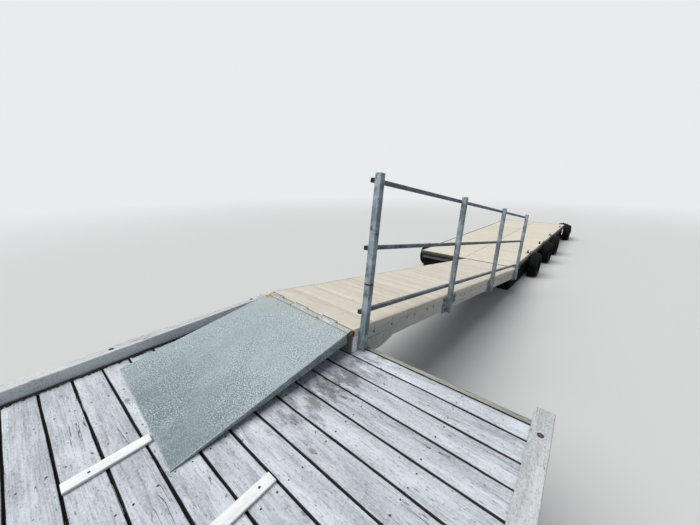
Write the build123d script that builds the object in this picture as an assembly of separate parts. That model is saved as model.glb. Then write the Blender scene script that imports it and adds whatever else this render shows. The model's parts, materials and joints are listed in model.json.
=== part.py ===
"""A timber jetty: a fixed landing on piles, a hinged ramp plate, a sloping gangway with a
handrail on its right side, and a decked float fendered with old tyres.

Millimetres, +Z up. X runs across the gangway, Y runs out over the water along it. Places are
worked out from the landing's water edge on the gangway's centre line, and each piece is then
moved so that the origin lies under the foot of the middle pile nearest the water.
"""
import os
from math import asin, atan2, degrees, hypot, radians, sin, tan

from build123d import *

os.makedirs("parts", exist_ok=True)

# Levels and directions
LANDING_DECK_Z = 1080.0      # top of the landing's boards above the pile feet
SKEW = 3.0                   # degrees that the landing is turned against the gangway
GANGWAY_SLOPE = 8.35         # degrees that the gangway falls towards the float
SEAT = 0.3                   # gap between two pieces of different bodies that rest on each other
RUNNING = 0.05               # radial gap between a hinge pin and its bore
SWING = 8.0                  # gap beside pieces that move past each other

# Timber sizes
BOARD_T = 38.0               # thickness of sawn boards and planks
EASE = 3.0                   # rounding along the edges of boards
BOARD_W = 140.0              # width of a landing board
BOARD_GAP = 10.0             # gap between landing boards
BOARD_COUNT = 14             # full boards on the landing
EDGE_BOARD_W = 112.0         # narrower board beside the fascia
LANDING_LEFT = 788.0         # gangway centre line to the left face of the left curb
LANDING_RIGHT = 1714.0       # gangway centre line to the right face of the right curb
FASCIA_H = 235.0
JOIST_H = 184.0
JOIST_COUNT = 5
BEAM_T = 76.0
BEAM_H = 235.0
PILE = 150.0
PILES_PER_ROW = 3
PILE_INSET = 130.0           # landing's side to the outer piles' centres
ROW_INSET = 420.0            # landing's front and back to the pile rows' centres
BRACE_W = 140.0
BRACE_LOW = 60.0             # pile feet to the braces' lower ends
BRACE_DROP = 30.0            # pile tops down to their upper ends
PILE_ROUND = 8.0
CURB = 89.0
CURB_OVERHANG = 16.0         # how far the right curb's nose stands past the fascia
CURB_SHORT = 15.0            # how far the left curb's nose stays behind it
CURB_ROUND = 22.0
BATTEN_W = 57.0
BATTEN_T = 16.0
BATTEN_LENGTH = 322.0
BATTEN_X = (183.0, 809.0)    # gangway centre line to the two battens' centres
BATTEN_TOE_GAP = 7.0         # ramp's toe to the first batten
BATTEN_STAGGER = 268.0       # how far the second batten lies ahead of the first

# Ramp plate and its hinge
RAMP_LENGTH = 1194.0         # hinge pin to toe
RAMP_SHEET_T = 6.0
RAMP_SIDE_H = 73.0           # depth of the ramp's side at the hinge
RAMP_RIB_COUNT = 2
CHEEK_BACK = 48.0            # hinge pin to the near end of the ramp's cheeks
CHEEK_TOE = 12.0             # their far end to the ramp's toe
CHEEK_NOSE = 48.0            # length of their pointed end at the toe
CHEEK_TIP = 4.0              # depth where that end begins
CHEEK_CORNER = 12.0          # corner cut off at the hinge
KNUCKLE_R = 22.0
HINGE_PIN_R = 15.0
KNUCKLE_COUNT = 6
KNUCKLE_GAP = 2.0            # end gap between two neighbouring knuckles
KNOB_R = 25.0                # domed right end of the hinge pin
KNOB_LENGTH = 16.0
KNOB_GAP = 5.5               # ramp's right side to that knob
LEAF_DEPTH = 70.0            # how far the gangway's hinge leaves reach down below the pin
HINGE_PIN_BACK = 138.0       # landing edge to the ramp's hinge pin
HINGE_PIN_UP = 171.0         # landing deck to the ramp's hinge pin

# Gangway
GANGWAY_WIDTH = 1025.0
WIDE_PLANK = 249.0
NARROW_PLANK = 139.0
PLANK_GAP = 3.0
PLANK_T = 57.0
PLANK_OVERHANG = 30.0        # how far the planks stand past the left stringer
PLANK_RAGGED = 5.0           # how far their ends are out of line
PLANK_PATTERN = (WIDE_PLANK, WIDE_PLANK, WIDE_PLANK, NARROW_PLANK, WIDE_PLANK, NARROW_PLANK)
PLANK_COUNT = 23
PLANK_START = 30.0           # hinge pin to the first plank
STRINGER_H = 131.0
BLOCKING_COUNT = 4
PIVOT_Y = 70.0               # landing edge to the pin that the gangway turns on
PIVOT_DROP = 62.0            # landing deck to that pin
PIVOT_PIN_R = 10.0
PIVOT_PLATE_T = 8.0
PIVOT_PLATE_FOOT = 150.0     # pin to the far end of the plate's lower edge
PIVOT_PLATE_REACH = 310.0    # pin to the plate's far tip
PIVOT_PLATE_LAP = 70.0       # how far the plate reaches up the stringer
LUG_R = 18.0
LUG_T = 12.0
LUG_BASE_HALF = 40.0         # half the width of the plate that a lug stands on
LUG_BASE_UP = 30.0           # pin to that plate's upper edge
LUG_BASE_DOWN = 55.0         # pin to its lower edge
PIN_HEAD_R = 15.0
PIN_HEAD_T = 10.0

# Handrail
POST = 51.0
TUBE_WALL = 3.0
POST_COUNT = 4
POST_FIRST = 112.0           # hinge pin to the centre of the first post
POST_SECOND = 1655.0         # hinge pin to the centre of the second post
POST_LAST = 204.0            # gangway's far end to the centre of the last post
POST_TOP = 1102.0            # first post's top above the gangway deck
POST_LEAN = 0.8              # degrees that the posts lean inwards
RAIL = 32.0
RAIL_HEIGHTS = (120.0, 592.0, 1053.0)      # deck to the rails' centres at the first post
RAIL_FALL = 0.45             # degrees that the rails fall against the deck
RAIL_LEAD = 3.0              # how far the rails stand past the first and last posts
RAIL_NAMES = ("handrail_low_rail", "handrail_middle_rail", "handrail_top_rail")
BRACKET_T = 6.0
BRACKET_NEAR = 110.0         # post's centre to the bracket's near edge
BRACKET_FAR = 235.0          # post's centre to the far edge of its upper part
BRACKET_TAIL_FAR = 45.0      # post's centre to the far edge of its tail
BRACKET_DEEP = 100.0         # height of its upper part
BRACKET_SLANT = 40.0         # height of the slanted edge below that part
BRACKET_TOP = 25.0           # deck to the bracket's top edge
BRACKET_BOTTOM = 212.0       # deck to the bracket's bottom edge
FIRST_FOOT = 32.0            # stringer's lower edge to the foot of the first post
TUBE_UP = 14.0               # bracket's foot to the tube's lower end
BOLT_R = 9.0
BOLT_HEAD = 7.0
BOLT_EDGE = 26.0             # bracket's side edges to the bolts
BOLT_DROPS = (28.0, 84.0)    # bracket's top edge down to the bolts

# Float
FLOAT_LENGTH = 7300.0
FLOAT_LEFT = 1670.0          # gangway centre line to the float's left side
FLOAT_RIGHT = 462.0
FLOAT_STEP = 4.0             # how far the float's deck lies below the gangway's end
FLOAT_GAP = 26.0             # gap between the gangway's end and the float
FLOAT_SEAM = 8.0             # gap between the two halves of the float's deck
SEAM_BESIDE = 73.0           # gangway's left side to that gap
FLOAT_RIM_H = 89.0
FLOAT_JOIST_H = 140.0
FLOAT_JOIST_COUNT = 13
BILLETS_PER_SIDE = 5
BILLET_GAP = 130.0
BILLET_INSET = 45.0
BILLET_ROUND = 40.0
BILLET_CHAMFER = 18.0
LINK_R = 12.0                # barrels of the hinge between the gangway and the float
LINK_PIN_R = 7.0
LINK_DROP = 19.0             # float deck to that hinge's pin
LINK_X = (-380.0, 0.0, 380.0)
LINK_WIDTH = 120.0
LINK_LEAF = 4.0              # half the thickness of the leaves on these barrels
STRAP_T = 6.0
STRAP_DOWN = 60.0            # stringer's top down to the strap's lower edge
STRAP_UNDER = 14.0           # gangway deck down to the strap's upper edge

# Fenders and cleats
TYRE_R = 285.0
TYRE_BORE_R = 165.0
TYRE_W = 200.0
TYRE_WALL = 14.0
TREAD_SHARE = 0.72           # share of the tyre's width taken by its tread and by its bead
TYRE_SHOULDER = 42.0
TYRE_BEAD = 28.0
TYRE_OFF = 0.3               # gap between a tyre and the float's rim
TYRE_LIFT = 5.0              # tyre's lowest point above the pile feet
RIGHT_TYRES = (0.208, 0.4293, 0.6005, 1.0)          # places along the float's side, as shares of the tyres' run
LEFT_TYRES = (0.0856,)
END_TYRES = (380.0,)         # gangway centre line to the tyre at the far end
CLEATS = (0.2162, 0.413, 0.6372, 0.9235)            # as shares of the same run
CLEAT_LENGTH = 200.0
CLEAT_INSET = 85.0
CLEAT_R = 11.0
CLEAT_UP = 46.0              # float deck to the middle of a cleat's bar
CLEAT_FOOT_R = 10.0
CLEAT_FEET = 32.0            # cleat's middle to its feet
CLEAT_BASE = (48.0, 124.0, 8.0)
ROPE_R = 9.0
ROPE_INSET = 20.0            # float's side to the place where a tyre's rope is held
ROPE_PLATE = 34.0

# Worked out
RAMP_WIDTH = GANGWAY_WIDTH
BOARD_PITCH = BOARD_W + BOARD_GAP
EDGE_BOARD_FRONT = -BOARD_T - BOARD_GAP
FIRST_BOARD_FRONT = EDGE_BOARD_FRONT - EDGE_BOARD_W - BOARD_GAP
BACK_RIM_FRONT = FIRST_BOARD_FRONT - BOARD_COUNT * BOARD_PITCH
LANDING_BACK = BACK_RIM_FRONT - BOARD_T
JOIST_TOP = LANDING_DECK_Z - BOARD_T
BEAM_TOP = JOIST_TOP - JOIST_H
PILE_TOP = BEAM_TOP - BEAM_H
ROW_Y = (-ROW_INSET, LANDING_BACK + ROW_INSET)
PIN_Y = -HINGE_PIN_BACK
PIN_Z = LANDING_DECK_Z + HINGE_PIN_UP
DECK_U = KNUCKLE_R                       # gangway deck above the hinge pin
STRINGER_TOP = DECK_U - PLANK_T
STRINGER_BOTTOM = STRINGER_TOP - STRINGER_H
HALF_GANGWAY = GANGWAY_WIDTH / 2
STRINGER_X = HALF_GANGWAY - BOARD_T / 2
PLANKS = [PLANK_PATTERN[i % len(PLANK_PATTERN)] for i in range(PLANK_COUNT)]
GANGWAY_END = PLANK_START + sum(PLANKS) + PLANK_GAP * (PLANK_COUNT - 1)
POST_PITCH = (GANGWAY_END - POST_LAST - POST_SECOND) / (POST_COUNT - 2)
POST_AT = [POST_FIRST] + [POST_SECOND + i * POST_PITCH for i in range(POST_COUNT - 1)]
POST_X = HALF_GANGWAY + BRACKET_T + POST / 2
POST_FOOT = DECK_U - BRACKET_BOTTOM

gangway_place = Pos(0, PIN_Y, PIN_Z) * Rot(-GANGWAY_SLOPE, 0, 0)
landing_place = Rot(0, 0, SKEW)
middle_pile = landing_place * Pos((LANDING_RIGHT - LANDING_LEFT) / 2, -ROW_INSET, 0)
to_origin = Pos(-middle_pile.position.X, -middle_pile.position.Y, 0)
gangway_tip = gangway_place * Pos(0, GANGWAY_END, DECK_U)
TIP_Y = gangway_tip.position.Y
TIP_Z = gangway_tip.position.Z
FLOAT_FRONT = TIP_Y + FLOAT_GAP
FLOAT_BACK = FLOAT_FRONT + FLOAT_LENGTH
TYRE_RUN = FLOAT_LENGTH - TYRE_R - SWING      # float's front to the last place that clears the far end's tyre
FLOAT_DECK_Z = TIP_Z - FLOAT_STEP
FLOAT_JOIST_TOP = FLOAT_DECK_Z - BOARD_T
BILLET_TOP = FLOAT_JOIST_TOP - FLOAT_JOIST_H
LINK_Y = TIP_Y + FLOAT_GAP / 2
LINK_Z = FLOAT_DECK_Z - LINK_DROP
TYRE_Z = TYRE_LIFT + TYRE_R
TYRE_TOP = TYRE_Z + TYRE_R
ROPE_Z = TYRE_TOP + ROPE_R + 12


def block(x, y, z):
    """A box from three (low, high) pairs."""
    size = Box(x[1] - x[0], y[1] - y[0], z[1] - z[0])
    return Pos((x[0] + x[1]) / 2, (y[0] + y[1]) / 2, (z[0] + z[1]) / 2) * size


def board_x(x, y, z):
    """A board with eased edges that runs along X."""
    section = RectangleRounded(y[1] - y[0], z[1] - z[0], EASE)
    centre = Pos(x[0], (y[0] + y[1]) / 2, (z[0] + z[1]) / 2)
    return centre * extrude(Plane.YZ * section, x[1] - x[0])


def board_y(x, y, z):
    """A board with eased edges that runs along Y."""
    section = RectangleRounded(x[1] - x[0], z[1] - z[0], EASE)
    centre = Pos((x[0] + x[1]) / 2, y[1], (z[0] + z[1]) / 2)
    return centre * extrude(Plane.XZ * section, y[1] - y[0])


def rod_x(radius, x, y, z):
    """A round rod along X."""
    return Pos((x[0] + x[1]) / 2, y, z) * Rot(0, 90, 0) * Cylinder(radius, x[1] - x[0])


def spread(low, high, count):
    """Evenly spaced places from low to high."""
    return [low + (high - low) * i / (count - 1) for i in range(count)]


def save(name, *solids):
    """Write one named piece, made of one or more solids."""
    moved = [to_origin * solid for solid in solids]
    shape = moved[0] if len(moved) == 1 else Compound(children=moved)
    export_step(shape, f"parts/{name}.step")


# Landing, drawn square and then turned by the skew
LEFT_X = -LANDING_LEFT
RIGHT_X = LANDING_RIGHT
INNER_X = (LEFT_X + BOARD_T, RIGHT_X - BOARD_T)


def save_landing(name, *solids):
    save(name, *[landing_place * solid for solid in solids])


def landing_boards():
    """Deck boards across the whole landing, with a ripped one beside the fascia."""
    deck = (LANDING_DECK_Z - BOARD_T, LANDING_DECK_Z)
    edge = (EDGE_BOARD_FRONT - EDGE_BOARD_W, EDGE_BOARD_FRONT)
    boards = [board_x((LEFT_X, RIGHT_X), edge, deck)]
    for i in range(BOARD_COUNT):
        front = FIRST_BOARD_FRONT - i * BOARD_PITCH
        boards.append(board_x((LEFT_X, RIGHT_X), (front - BOARD_W, front), deck))
    return boards


def pile_row(y):
    """Square piles with rounded corners under one beam."""
    places = spread(LEFT_X + PILE_INSET, RIGHT_X - PILE_INSET, PILES_PER_ROW)
    pile = extrude(RectangleRounded(PILE, PILE, PILE_ROUND), PILE_TOP)
    return [Pos(x, y, 0) * pile for x in places]


def brace(side):
    """A diagonal board on the outer faces of one side's piles, cut level at both ends."""
    low = BRACE_LOW
    high = PILE_TOP - BRACE_DROP
    lean = BRACE_W / 2
    front = ROW_Y[0]
    back = ROW_Y[1]
    face = Polyline((front + lean, low), (front - lean, low),
                    (back - lean, high), (back + lean, high), close=True)
    x = LEFT_X + PILE_INSET - PILE / 2 - BOARD_T if side < 0 else RIGHT_X - PILE_INSET + PILE / 2
    return Pos(x, 0, 0) * extrude(Plane.YZ * make_face(face), BOARD_T)


save_landing("landing_deck_boards", *landing_boards())
WHOLE_X = (LEFT_X, RIGHT_X)
RIM_Y = (BACK_RIM_FRONT, -BOARD_T)
RIM_Z = (BEAM_TOP, JOIST_TOP)
fascia_z = (LANDING_DECK_Z - FASCIA_H, LANDING_DECK_Z)
save_landing("landing_fascia", board_x(WHOLE_X, (-BOARD_T, 0), fascia_z))
save_landing("landing_back_rim", board_x(WHOLE_X, (LANDING_BACK, BACK_RIM_FRONT), RIM_Z))
save_landing("landing_left_rim", board_y((LEFT_X, LEFT_X + BOARD_T), RIM_Y, RIM_Z))
save_landing("landing_right_rim", board_y((RIGHT_X - BOARD_T, RIGHT_X), RIM_Y, RIM_Z))
joist_x = spread(INNER_X[0], INNER_X[1], JOIST_COUNT + 2)[1:-1]
joists = [board_y((x - BOARD_T / 2, x + BOARD_T / 2), RIM_Y, RIM_Z) for x in joist_x]
save_landing("landing_joists", *joists)
beams = []
piles = []
for y in ROW_Y:
    beams.append(board_x(WHOLE_X, (y - BEAM_T / 2, y + BEAM_T / 2), (PILE_TOP, BEAM_TOP)))
    piles += pile_row(y)
save_landing("landing_beams", *beams)
save_landing("landing_piles", *piles)
save_landing("landing_left_brace", brace(-1))
save_landing("landing_right_brace", brace(1))


def curb(x, front):
    """A square timber laid on the boards, its water end rounded over."""
    bar = board_y((x, x + CURB), (LANDING_BACK, front), (LANDING_DECK_Z, LANDING_DECK_Z + CURB))
    nose = bar.edges().filter_by(Axis.X).group_by(Axis.Y)[-1].sort_by(Axis.Z)[-1]
    return fillet(nose, CURB_ROUND)


save_landing("curb_left", curb(LEFT_X, -CURB_SHORT))
save_landing("curb_right", curb(RIGHT_X - CURB, CURB_OVERHANG))
battens = []
first_batten = -HINGE_PIN_BACK - RAMP_LENGTH - BATTEN_TOE_GAP - BATTEN_LENGTH / 2
for x, y in zip(BATTEN_X, (first_batten, first_batten + BATTEN_STAGGER)):
    across = (x - BATTEN_W / 2, x + BATTEN_W / 2)
    along = (y - BATTEN_LENGTH / 2, y + BATTEN_LENGTH / 2)
    battens.append(board_y(across, along, (LANDING_DECK_Z, LANDING_DECK_Z + BATTEN_T)))
save_landing("deck_battens", *battens)

# The gangway's pivot: a lug on the landing and a plate on the stringer share each pin
PIVOT_Z = LANDING_DECK_Z - PIVOT_DROP
LUG_X = STRINGER_X


def pivot_lug(side):
    """A lug that stands out from a plate on the fascia, with a bore for the pin."""
    x = side * LUG_X
    bar = block((x - LUG_T / 2, x + LUG_T / 2), (-PIVOT_Y, PIVOT_Y), (PIVOT_Z - LUG_R, PIVOT_Z + LUG_R))
    bar += rod_x(LUG_R, (x - LUG_T / 2, x + LUG_T / 2), PIVOT_Y, PIVOT_Z)
    landing_edge = landing_place * block(WHOLE_X, (LANDING_BACK, 0), (0, LANDING_DECK_Z))
    edge_y = x * tan(radians(SKEW))
    base_z = (PIVOT_Z - LUG_BASE_DOWN, PIVOT_Z + LUG_BASE_UP)
    base = block((-LUG_BASE_HALF, LUG_BASE_HALF), (0, PIVOT_PLATE_T), base_z)
    bar += Pos(x, edge_y, 0) * Rot(0, 0, SKEW) * base
    bar -= landing_edge
    return bar - rod_x(PIVOT_PIN_R + RUNNING, (x - LUG_T, x + LUG_T), PIVOT_Y, PIVOT_Z)


save("pivot_lugs", *[pivot_lug(side) for side in (-1, 1)])

# Ramp plate, drawn level behind the hinge pin and then laid down on the landing
LEAF_TOP = KNUCKLE_R - 0.5
SHEET_BOTTOM = LEAF_TOP - RAMP_SHEET_T
rest_drop = (HINGE_PIN_UP - SEAT) / hypot(RAMP_LENGTH, SHEET_BOTTOM)
RAMP_ANGLE = degrees(asin(rest_drop) + atan2(SHEET_BOTTOM, RAMP_LENGTH))
ramp_place = Pos(0, PIN_Y, PIN_Z) * Rot(RAMP_ANGLE, 0, 0)
KNUCKLE_W = RAMP_WIDTH / KNUCKLE_COUNT


def knuckle_span(i):
    """Low and high X of knuckle i, counted from the left."""
    low = -RAMP_WIDTH / 2 + i * KNUCKLE_W
    return (low + KNUCKLE_GAP / 2, low + KNUCKLE_W - KNUCKLE_GAP / 2)


def ramp_profile(width, x):
    """A tapered cheek under the sheet, deep at the hinge and thin at the toe."""
    deep = KNUCKLE_R - RAMP_SIDE_H
    toe = -RAMP_LENGTH + CHEEK_TOE
    line = Polyline((-CHEEK_BACK, SHEET_BOTTOM), (toe, SHEET_BOTTOM),
                    (toe + CHEEK_NOSE, SHEET_BOTTOM - CHEEK_TIP), (-CHEEK_BACK - CHEEK_CORNER, deep),
                    (-CHEEK_BACK, deep + CHEEK_CORNER), close=True)
    return Pos(x, 0, 0) * extrude(Plane.YZ * make_face(line), width)


def ramp_sheet():
    """The tread: a sheet with fingers that reach over its own knuckles, and turned-down sides."""
    half = RAMP_WIDTH / 2
    outline = block((-half, half), (-RAMP_LENGTH, -KNUCKLE_R - SWING), (SHEET_BOTTOM, LEAF_TOP))
    toe = outline.edges().filter_by(Axis.X).group_by(Axis.Y)[0].sort_by(Axis.Z)[-1]
    sheet = fillet(toe, RAMP_SHEET_T - 1.5)
    sheet += ramp_profile(RAMP_SHEET_T, -half)
    sheet += ramp_profile(RAMP_SHEET_T, half - RAMP_SHEET_T)
    for i in range(1, KNUCKLE_COUNT, 2):
        sheet += block(knuckle_span(i), (-KNUCKLE_R - SWING - 1, 0), (SHEET_BOTTOM, LEAF_TOP))
        sheet += rod_x(KNUCKLE_R, knuckle_span(i), 0, 0)
    return sheet - rod_x(HINGE_PIN_R + RUNNING, (-half - 1, half + 1), 0, 0)


save("ramp_plate", ramp_place * ramp_sheet())
rib_x = spread(-RAMP_WIDTH / 2, RAMP_WIDTH / 2, RAMP_RIB_COUNT + 2)[1:-1]
save("ramp_ribs", *[ramp_place * ramp_profile(RAMP_SHEET_T, x) for x in rib_x])
knob_start = RAMP_WIDTH / 2 + KNOB_GAP
knob = rod_x(KNOB_R, (knob_start, knob_start + KNOB_LENGTH), 0, 0)
knob = fillet(knob.edges().group_by(Axis.X)[-1], KNOB_LENGTH - 4)
save("ramp_hinge_pin", gangway_place * (knob + rod_x(HINGE_PIN_R, (-RAMP_WIDTH / 2 - 4, knob_start + 1), 0, 0)))

# Gangway, drawn level from the hinge pin and then sloped
NOTCH_END = HALF_GANGWAY * tan(radians(SKEW)) + SWING
landing_bulk = block(WHOLE_X, (LANDING_BACK, NOTCH_END), (0, LANDING_DECK_Z + SEAT))
over_landing = gangway_place.inverse() * landing_bulk


def save_gangway(name, *solids):
    save(name, *[gangway_place * solid for solid in solids])


def gangway_planks():
    """Planks of two widths laid across, with ends that don't quite line up on the left."""
    planks = []
    start = PLANK_START
    for i, width in enumerate(PLANKS):
        left = -HALF_GANGWAY - PLANK_OVERHANG - PLANK_RAGGED * sin(2.4 * i)
        planks.append(board_x((left, HALF_GANGWAY), (start, start + width), (STRINGER_TOP, DECK_U)))
        start += width + PLANK_GAP
    return planks


def stringer(x):
    """A long joist on edge, notched where it sits on the landing."""
    bar = board_y((x - BOARD_T / 2, x + BOARD_T / 2), (PLANK_START + BOARD_T, GANGWAY_END - BOARD_T),
                  (STRINGER_BOTTOM, STRINGER_TOP))
    return bar - over_landing


def knuckle_leaf(i):
    """A gangway knuckle with its leaf turned down over the header."""
    span = knuckle_span(i)
    leaf = rod_x(KNUCKLE_R, span, 0, 0)
    leaf += block(span, (0, PLANK_START), (LEAF_TOP - RAMP_SHEET_T, LEAF_TOP))
    leaf += block(span, (PLANK_START - RAMP_SHEET_T, PLANK_START), (-LEAF_DEPTH, LEAF_TOP))
    return leaf - rod_x(HINGE_PIN_R, (span[0] - 1, span[1] + 1), 0, 0)


save_gangway("gangway_planks", *gangway_planks())
save_gangway("gangway_stringers", *[stringer(x) for x in (-STRINGER_X, 0, STRINGER_X)])
HEADER_X = (-HALF_GANGWAY, HALF_GANGWAY)
HEADER_Z = (STRINGER_BOTTOM, STRINGER_TOP)
near_header = board_x(HEADER_X, (PLANK_START, PLANK_START + BOARD_T), HEADER_Z) - over_landing
save_gangway("gangway_near_header", near_header)
save_gangway("gangway_far_header", board_x(HEADER_X, (GANGWAY_END - BOARD_T, GANGWAY_END), HEADER_Z))
blocks = []
for t in spread(PLANK_START, GANGWAY_END, BLOCKING_COUNT + 2)[1:-1]:
    for low, high in ((-STRINGER_X, 0), (0, STRINGER_X)):
        gap = (low + BOARD_T / 2, high - BOARD_T / 2)
        blocks.append(board_x(gap, (t - BOARD_T / 2, t + BOARD_T / 2), (STRINGER_BOTTOM + 10, STRINGER_TOP)))
save_gangway("gangway_blocking", *blocks)
save_gangway("hinge_leaves", *[knuckle_leaf(i) for i in range(0, KNUCKLE_COUNT, 2)])

pivot_local = gangway_place.inverse() * Pos(0, PIVOT_Y, PIVOT_Z)
PIVOT_T = pivot_local.position.Y
PIVOT_U = pivot_local.position.Z
PIVOT_NEAR = PIVOT_T - 2 * LUG_R


def pivot_plate(side):
    """A plate on the stringer's outer face that hangs below it and holds the pin."""
    foot = PIVOT_U - LUG_R
    top = STRINGER_BOTTOM + PIVOT_PLATE_LAP
    far = PIVOT_T + PIVOT_PLATE_REACH
    line = Polyline((PIVOT_T - LUG_R, foot), (PIVOT_T + PIVOT_PLATE_FOOT, foot), (far, STRINGER_BOTTOM),
                    (far, top), (PIVOT_NEAR, top), (PIVOT_NEAR, STRINGER_BOTTOM + LUG_R),
                    (PIVOT_T - LUG_R, PIVOT_U), close=True)
    face = extrude(Plane.YZ * make_face(line), PIVOT_PLATE_T)
    x = HALF_GANGWAY if side > 0 else -HALF_GANGWAY - PIVOT_PLATE_T
    return Pos(x, 0, 0) * face


def pivot_pin(side):
    """The pin, with a head outside the plate."""
    inner = LUG_X - LUG_T
    outer = HALF_GANGWAY + PIVOT_PLATE_T
    end = outer + PIN_HEAD_T
    span = (inner, end) if side > 0 else (-end, -inner)
    head = (outer, end) if side > 0 else (-end, -outer)
    return rod_x(PIVOT_PIN_R, span, PIVOT_T, PIVOT_U) + rod_x(PIN_HEAD_R, head, PIVOT_T, PIVOT_U)


save_gangway("gangway_pivots", *[pivot_plate(side) + pivot_pin(side) for side in (-1, 1)])

lean_place = Pos(POST_X, 0, POST_FOOT) * Rot(0, -POST_LEAN, 0)


def bracket(t, near, far, foot):
    """The plate between a post and the stringer: wide at the top, with a tail below the post."""
    top = DECK_U - BRACKET_TOP
    shoulder = top - BRACKET_DEEP
    tail = t + BRACKET_TAIL_FAR
    line = Polyline((near, top), (far, top), (far, shoulder), (tail, shoulder - BRACKET_SLANT), (tail, foot),
                    (near, foot), close=True)
    return Pos(HALF_GANGWAY, 0, 0) * extrude(Plane.YZ * make_face(line), BRACKET_T)


def square_tube(width, length):
    """A square tube that stands on its end."""
    bore = width - 2 * TUBE_WALL
    return extrude(Rectangle(width, width) - Rectangle(bore, bore), length)


def post(i):
    """A capped square tube welded to its bracket, with bolt heads. The first is cut short over the landing."""
    t = POST_AT[i]
    first = i == 0
    foot = STRINGER_BOTTOM + FIRST_FOOT if first else POST_FOOT
    near = t - POST / 2 if first else t - BRACKET_NEAR
    far = PIVOT_NEAR - SWING if first else min(t + BRACKET_FAR, GANGWAY_END - BRACKET_T)
    top = DECK_U + POST_TOP - POST_FOOT - (t - POST_FIRST) * tan(radians(RAIL_FALL))
    rise = foot - POST_FOOT + TUBE_UP
    tube = Pos(0, t, rise) * square_tube(POST, top - rise)
    cap = Pos(0, t, top - TUBE_WALL / 2) * Box(POST, POST, TUBE_WALL)
    result = lean_place * (tube + cap) + bracket(t, near, far, foot)
    bolt_x = (HALF_GANGWAY + BRACKET_T, HALF_GANGWAY + BRACKET_T + BOLT_HEAD)
    for bolt_t in (near + BOLT_EDGE, far - BOLT_EDGE):
        if first and bolt_t < t:
            continue
        for drop in BOLT_DROPS:
            result += rod_x(BOLT_R, bolt_x, bolt_t, DECK_U - BRACKET_TOP - drop)
    return result


def rail(height):
    """A square tube left open at both ends, on the inner side of the posts and falling a little along them."""
    start = POST_FIRST - POST / 2 - RAIL_LEAD
    length = POST_AT[-1] - POST_FIRST + POST + 2 * RAIL_LEAD
    tube = Rot(-90 - RAIL_FALL, 0, 0) * square_tube(RAIL, length)
    return lean_place * Pos(-(POST + RAIL) / 2, start, DECK_U + height - POST_FOOT) * tube


for i in range(POST_COUNT):
    save_gangway(f"handrail_post_{i + 1}", post(i))
for name, height in zip(RAIL_NAMES, RAIL_HEIGHTS):
    save_gangway(name, rail(height))

# Hinge between the gangway and the float: outer barrels on the gangway, a middle one on the float
BARREL = LINK_WIDTH / 3


def link_barrels(x, offsets, face_y):
    """Barrels round the pin, each with a leaf that runs back to the face that it is bolted to."""
    pieces = None
    for offset in offsets:
        span = (x + offset - BARREL / 2 + 1, x + offset + BARREL / 2 - 1)
        leaf = block(span, sorted((LINK_Y, face_y)), (LINK_Z - LINK_LEAF, LINK_Z + LINK_LEAF))
        barrel = rod_x(LINK_R, span, LINK_Y, LINK_Z) + leaf
        pieces = barrel if pieces is None else pieces + barrel
    return pieces


def far_face(u):
    """Y of the gangway's far end at height u above the hinge pin line."""
    return (gangway_place * Pos(0, GANGWAY_END, u)).position.Y


gangway_side = []
gangway_bulk = gangway_place * block(HEADER_X, (0, GANGWAY_END), (STRINGER_BOTTOM, DECK_U))
for x in LINK_X:
    ears = link_barrels(x, (-BARREL, BARREL), far_face(0) - BOARD_T)
    strap = block((x - LINK_WIDTH / 2, x + LINK_WIDTH / 2), (GANGWAY_END, GANGWAY_END + STRAP_T),
                  (STRINGER_TOP - STRAP_DOWN, DECK_U - STRAP_UNDER))
    room = LINK_R + 2
    middle = block((x - BARREL / 2 - 1, x + BARREL / 2 + 1), (LINK_Y - room, LINK_Y + FLOAT_GAP),
                   (LINK_Z - room, LINK_Z + room))
    solid = (ears + (gangway_place * strap - middle)) - gangway_bulk
    gangway_side.append(solid - rod_x(LINK_PIN_R + RUNNING, (x - LINK_WIDTH, x + LINK_WIDTH), LINK_Y, LINK_Z))
save("float_link_ears", *gangway_side)
float_side = []
for x in LINK_X:
    tongue = link_barrels(x, (0,), FLOAT_FRONT)
    pin_half = LINK_WIDTH / 2 + STRAP_T
    float_side.append(tongue + rod_x(LINK_PIN_R, (x - pin_half, x + pin_half), LINK_Y, LINK_Z))
save("float_link_tongues", *float_side)

# Float
SEAM_X = -HALF_GANGWAY - SEAM_BESIDE
FLOAT_SIDES = {"right": (SEAM_X + FLOAT_SEAM / 2, FLOAT_RIGHT - BOARD_T),
               "left": (-FLOAT_LEFT + BOARD_T, SEAM_X - FLOAT_SEAM / 2)}


def float_planks(x):
    """Planks across one half of the float, from rim to rim."""
    low = FLOAT_FRONT + BOARD_T + 2
    high = FLOAT_BACK - BOARD_T - 2
    count = round((high - low + PLANK_GAP) / (WIDE_PLANK + PLANK_GAP))
    pitch = (high - low + PLANK_GAP) / count
    planks = []
    for i in range(count):
        y = low + i * pitch
        planks.append(block(x, (y, y + pitch - PLANK_GAP), (FLOAT_JOIST_TOP, FLOAT_DECK_Z)))
    return planks


def billets(x):
    """Black buoyancy blocks with rounded edges under one half of the float."""
    low = FLOAT_FRONT + BILLET_INSET
    high = FLOAT_BACK - BILLET_INSET
    length = (high - low - BILLET_GAP * (BILLETS_PER_SIDE - 1)) / BILLETS_PER_SIDE
    width = x[1] - x[0] - BILLET_INSET
    body = extrude(RectangleRounded(width, length, BILLET_ROUND), BILLET_TOP)
    body = chamfer(body.edges().group_by(Axis.Z)[0], BILLET_CHAMFER)
    mid = (x[0] + x[1]) / 2
    return [Pos(mid, low + length / 2 + i * (length + BILLET_GAP), 0) * body for i in range(BILLETS_PER_SIDE)]


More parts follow.
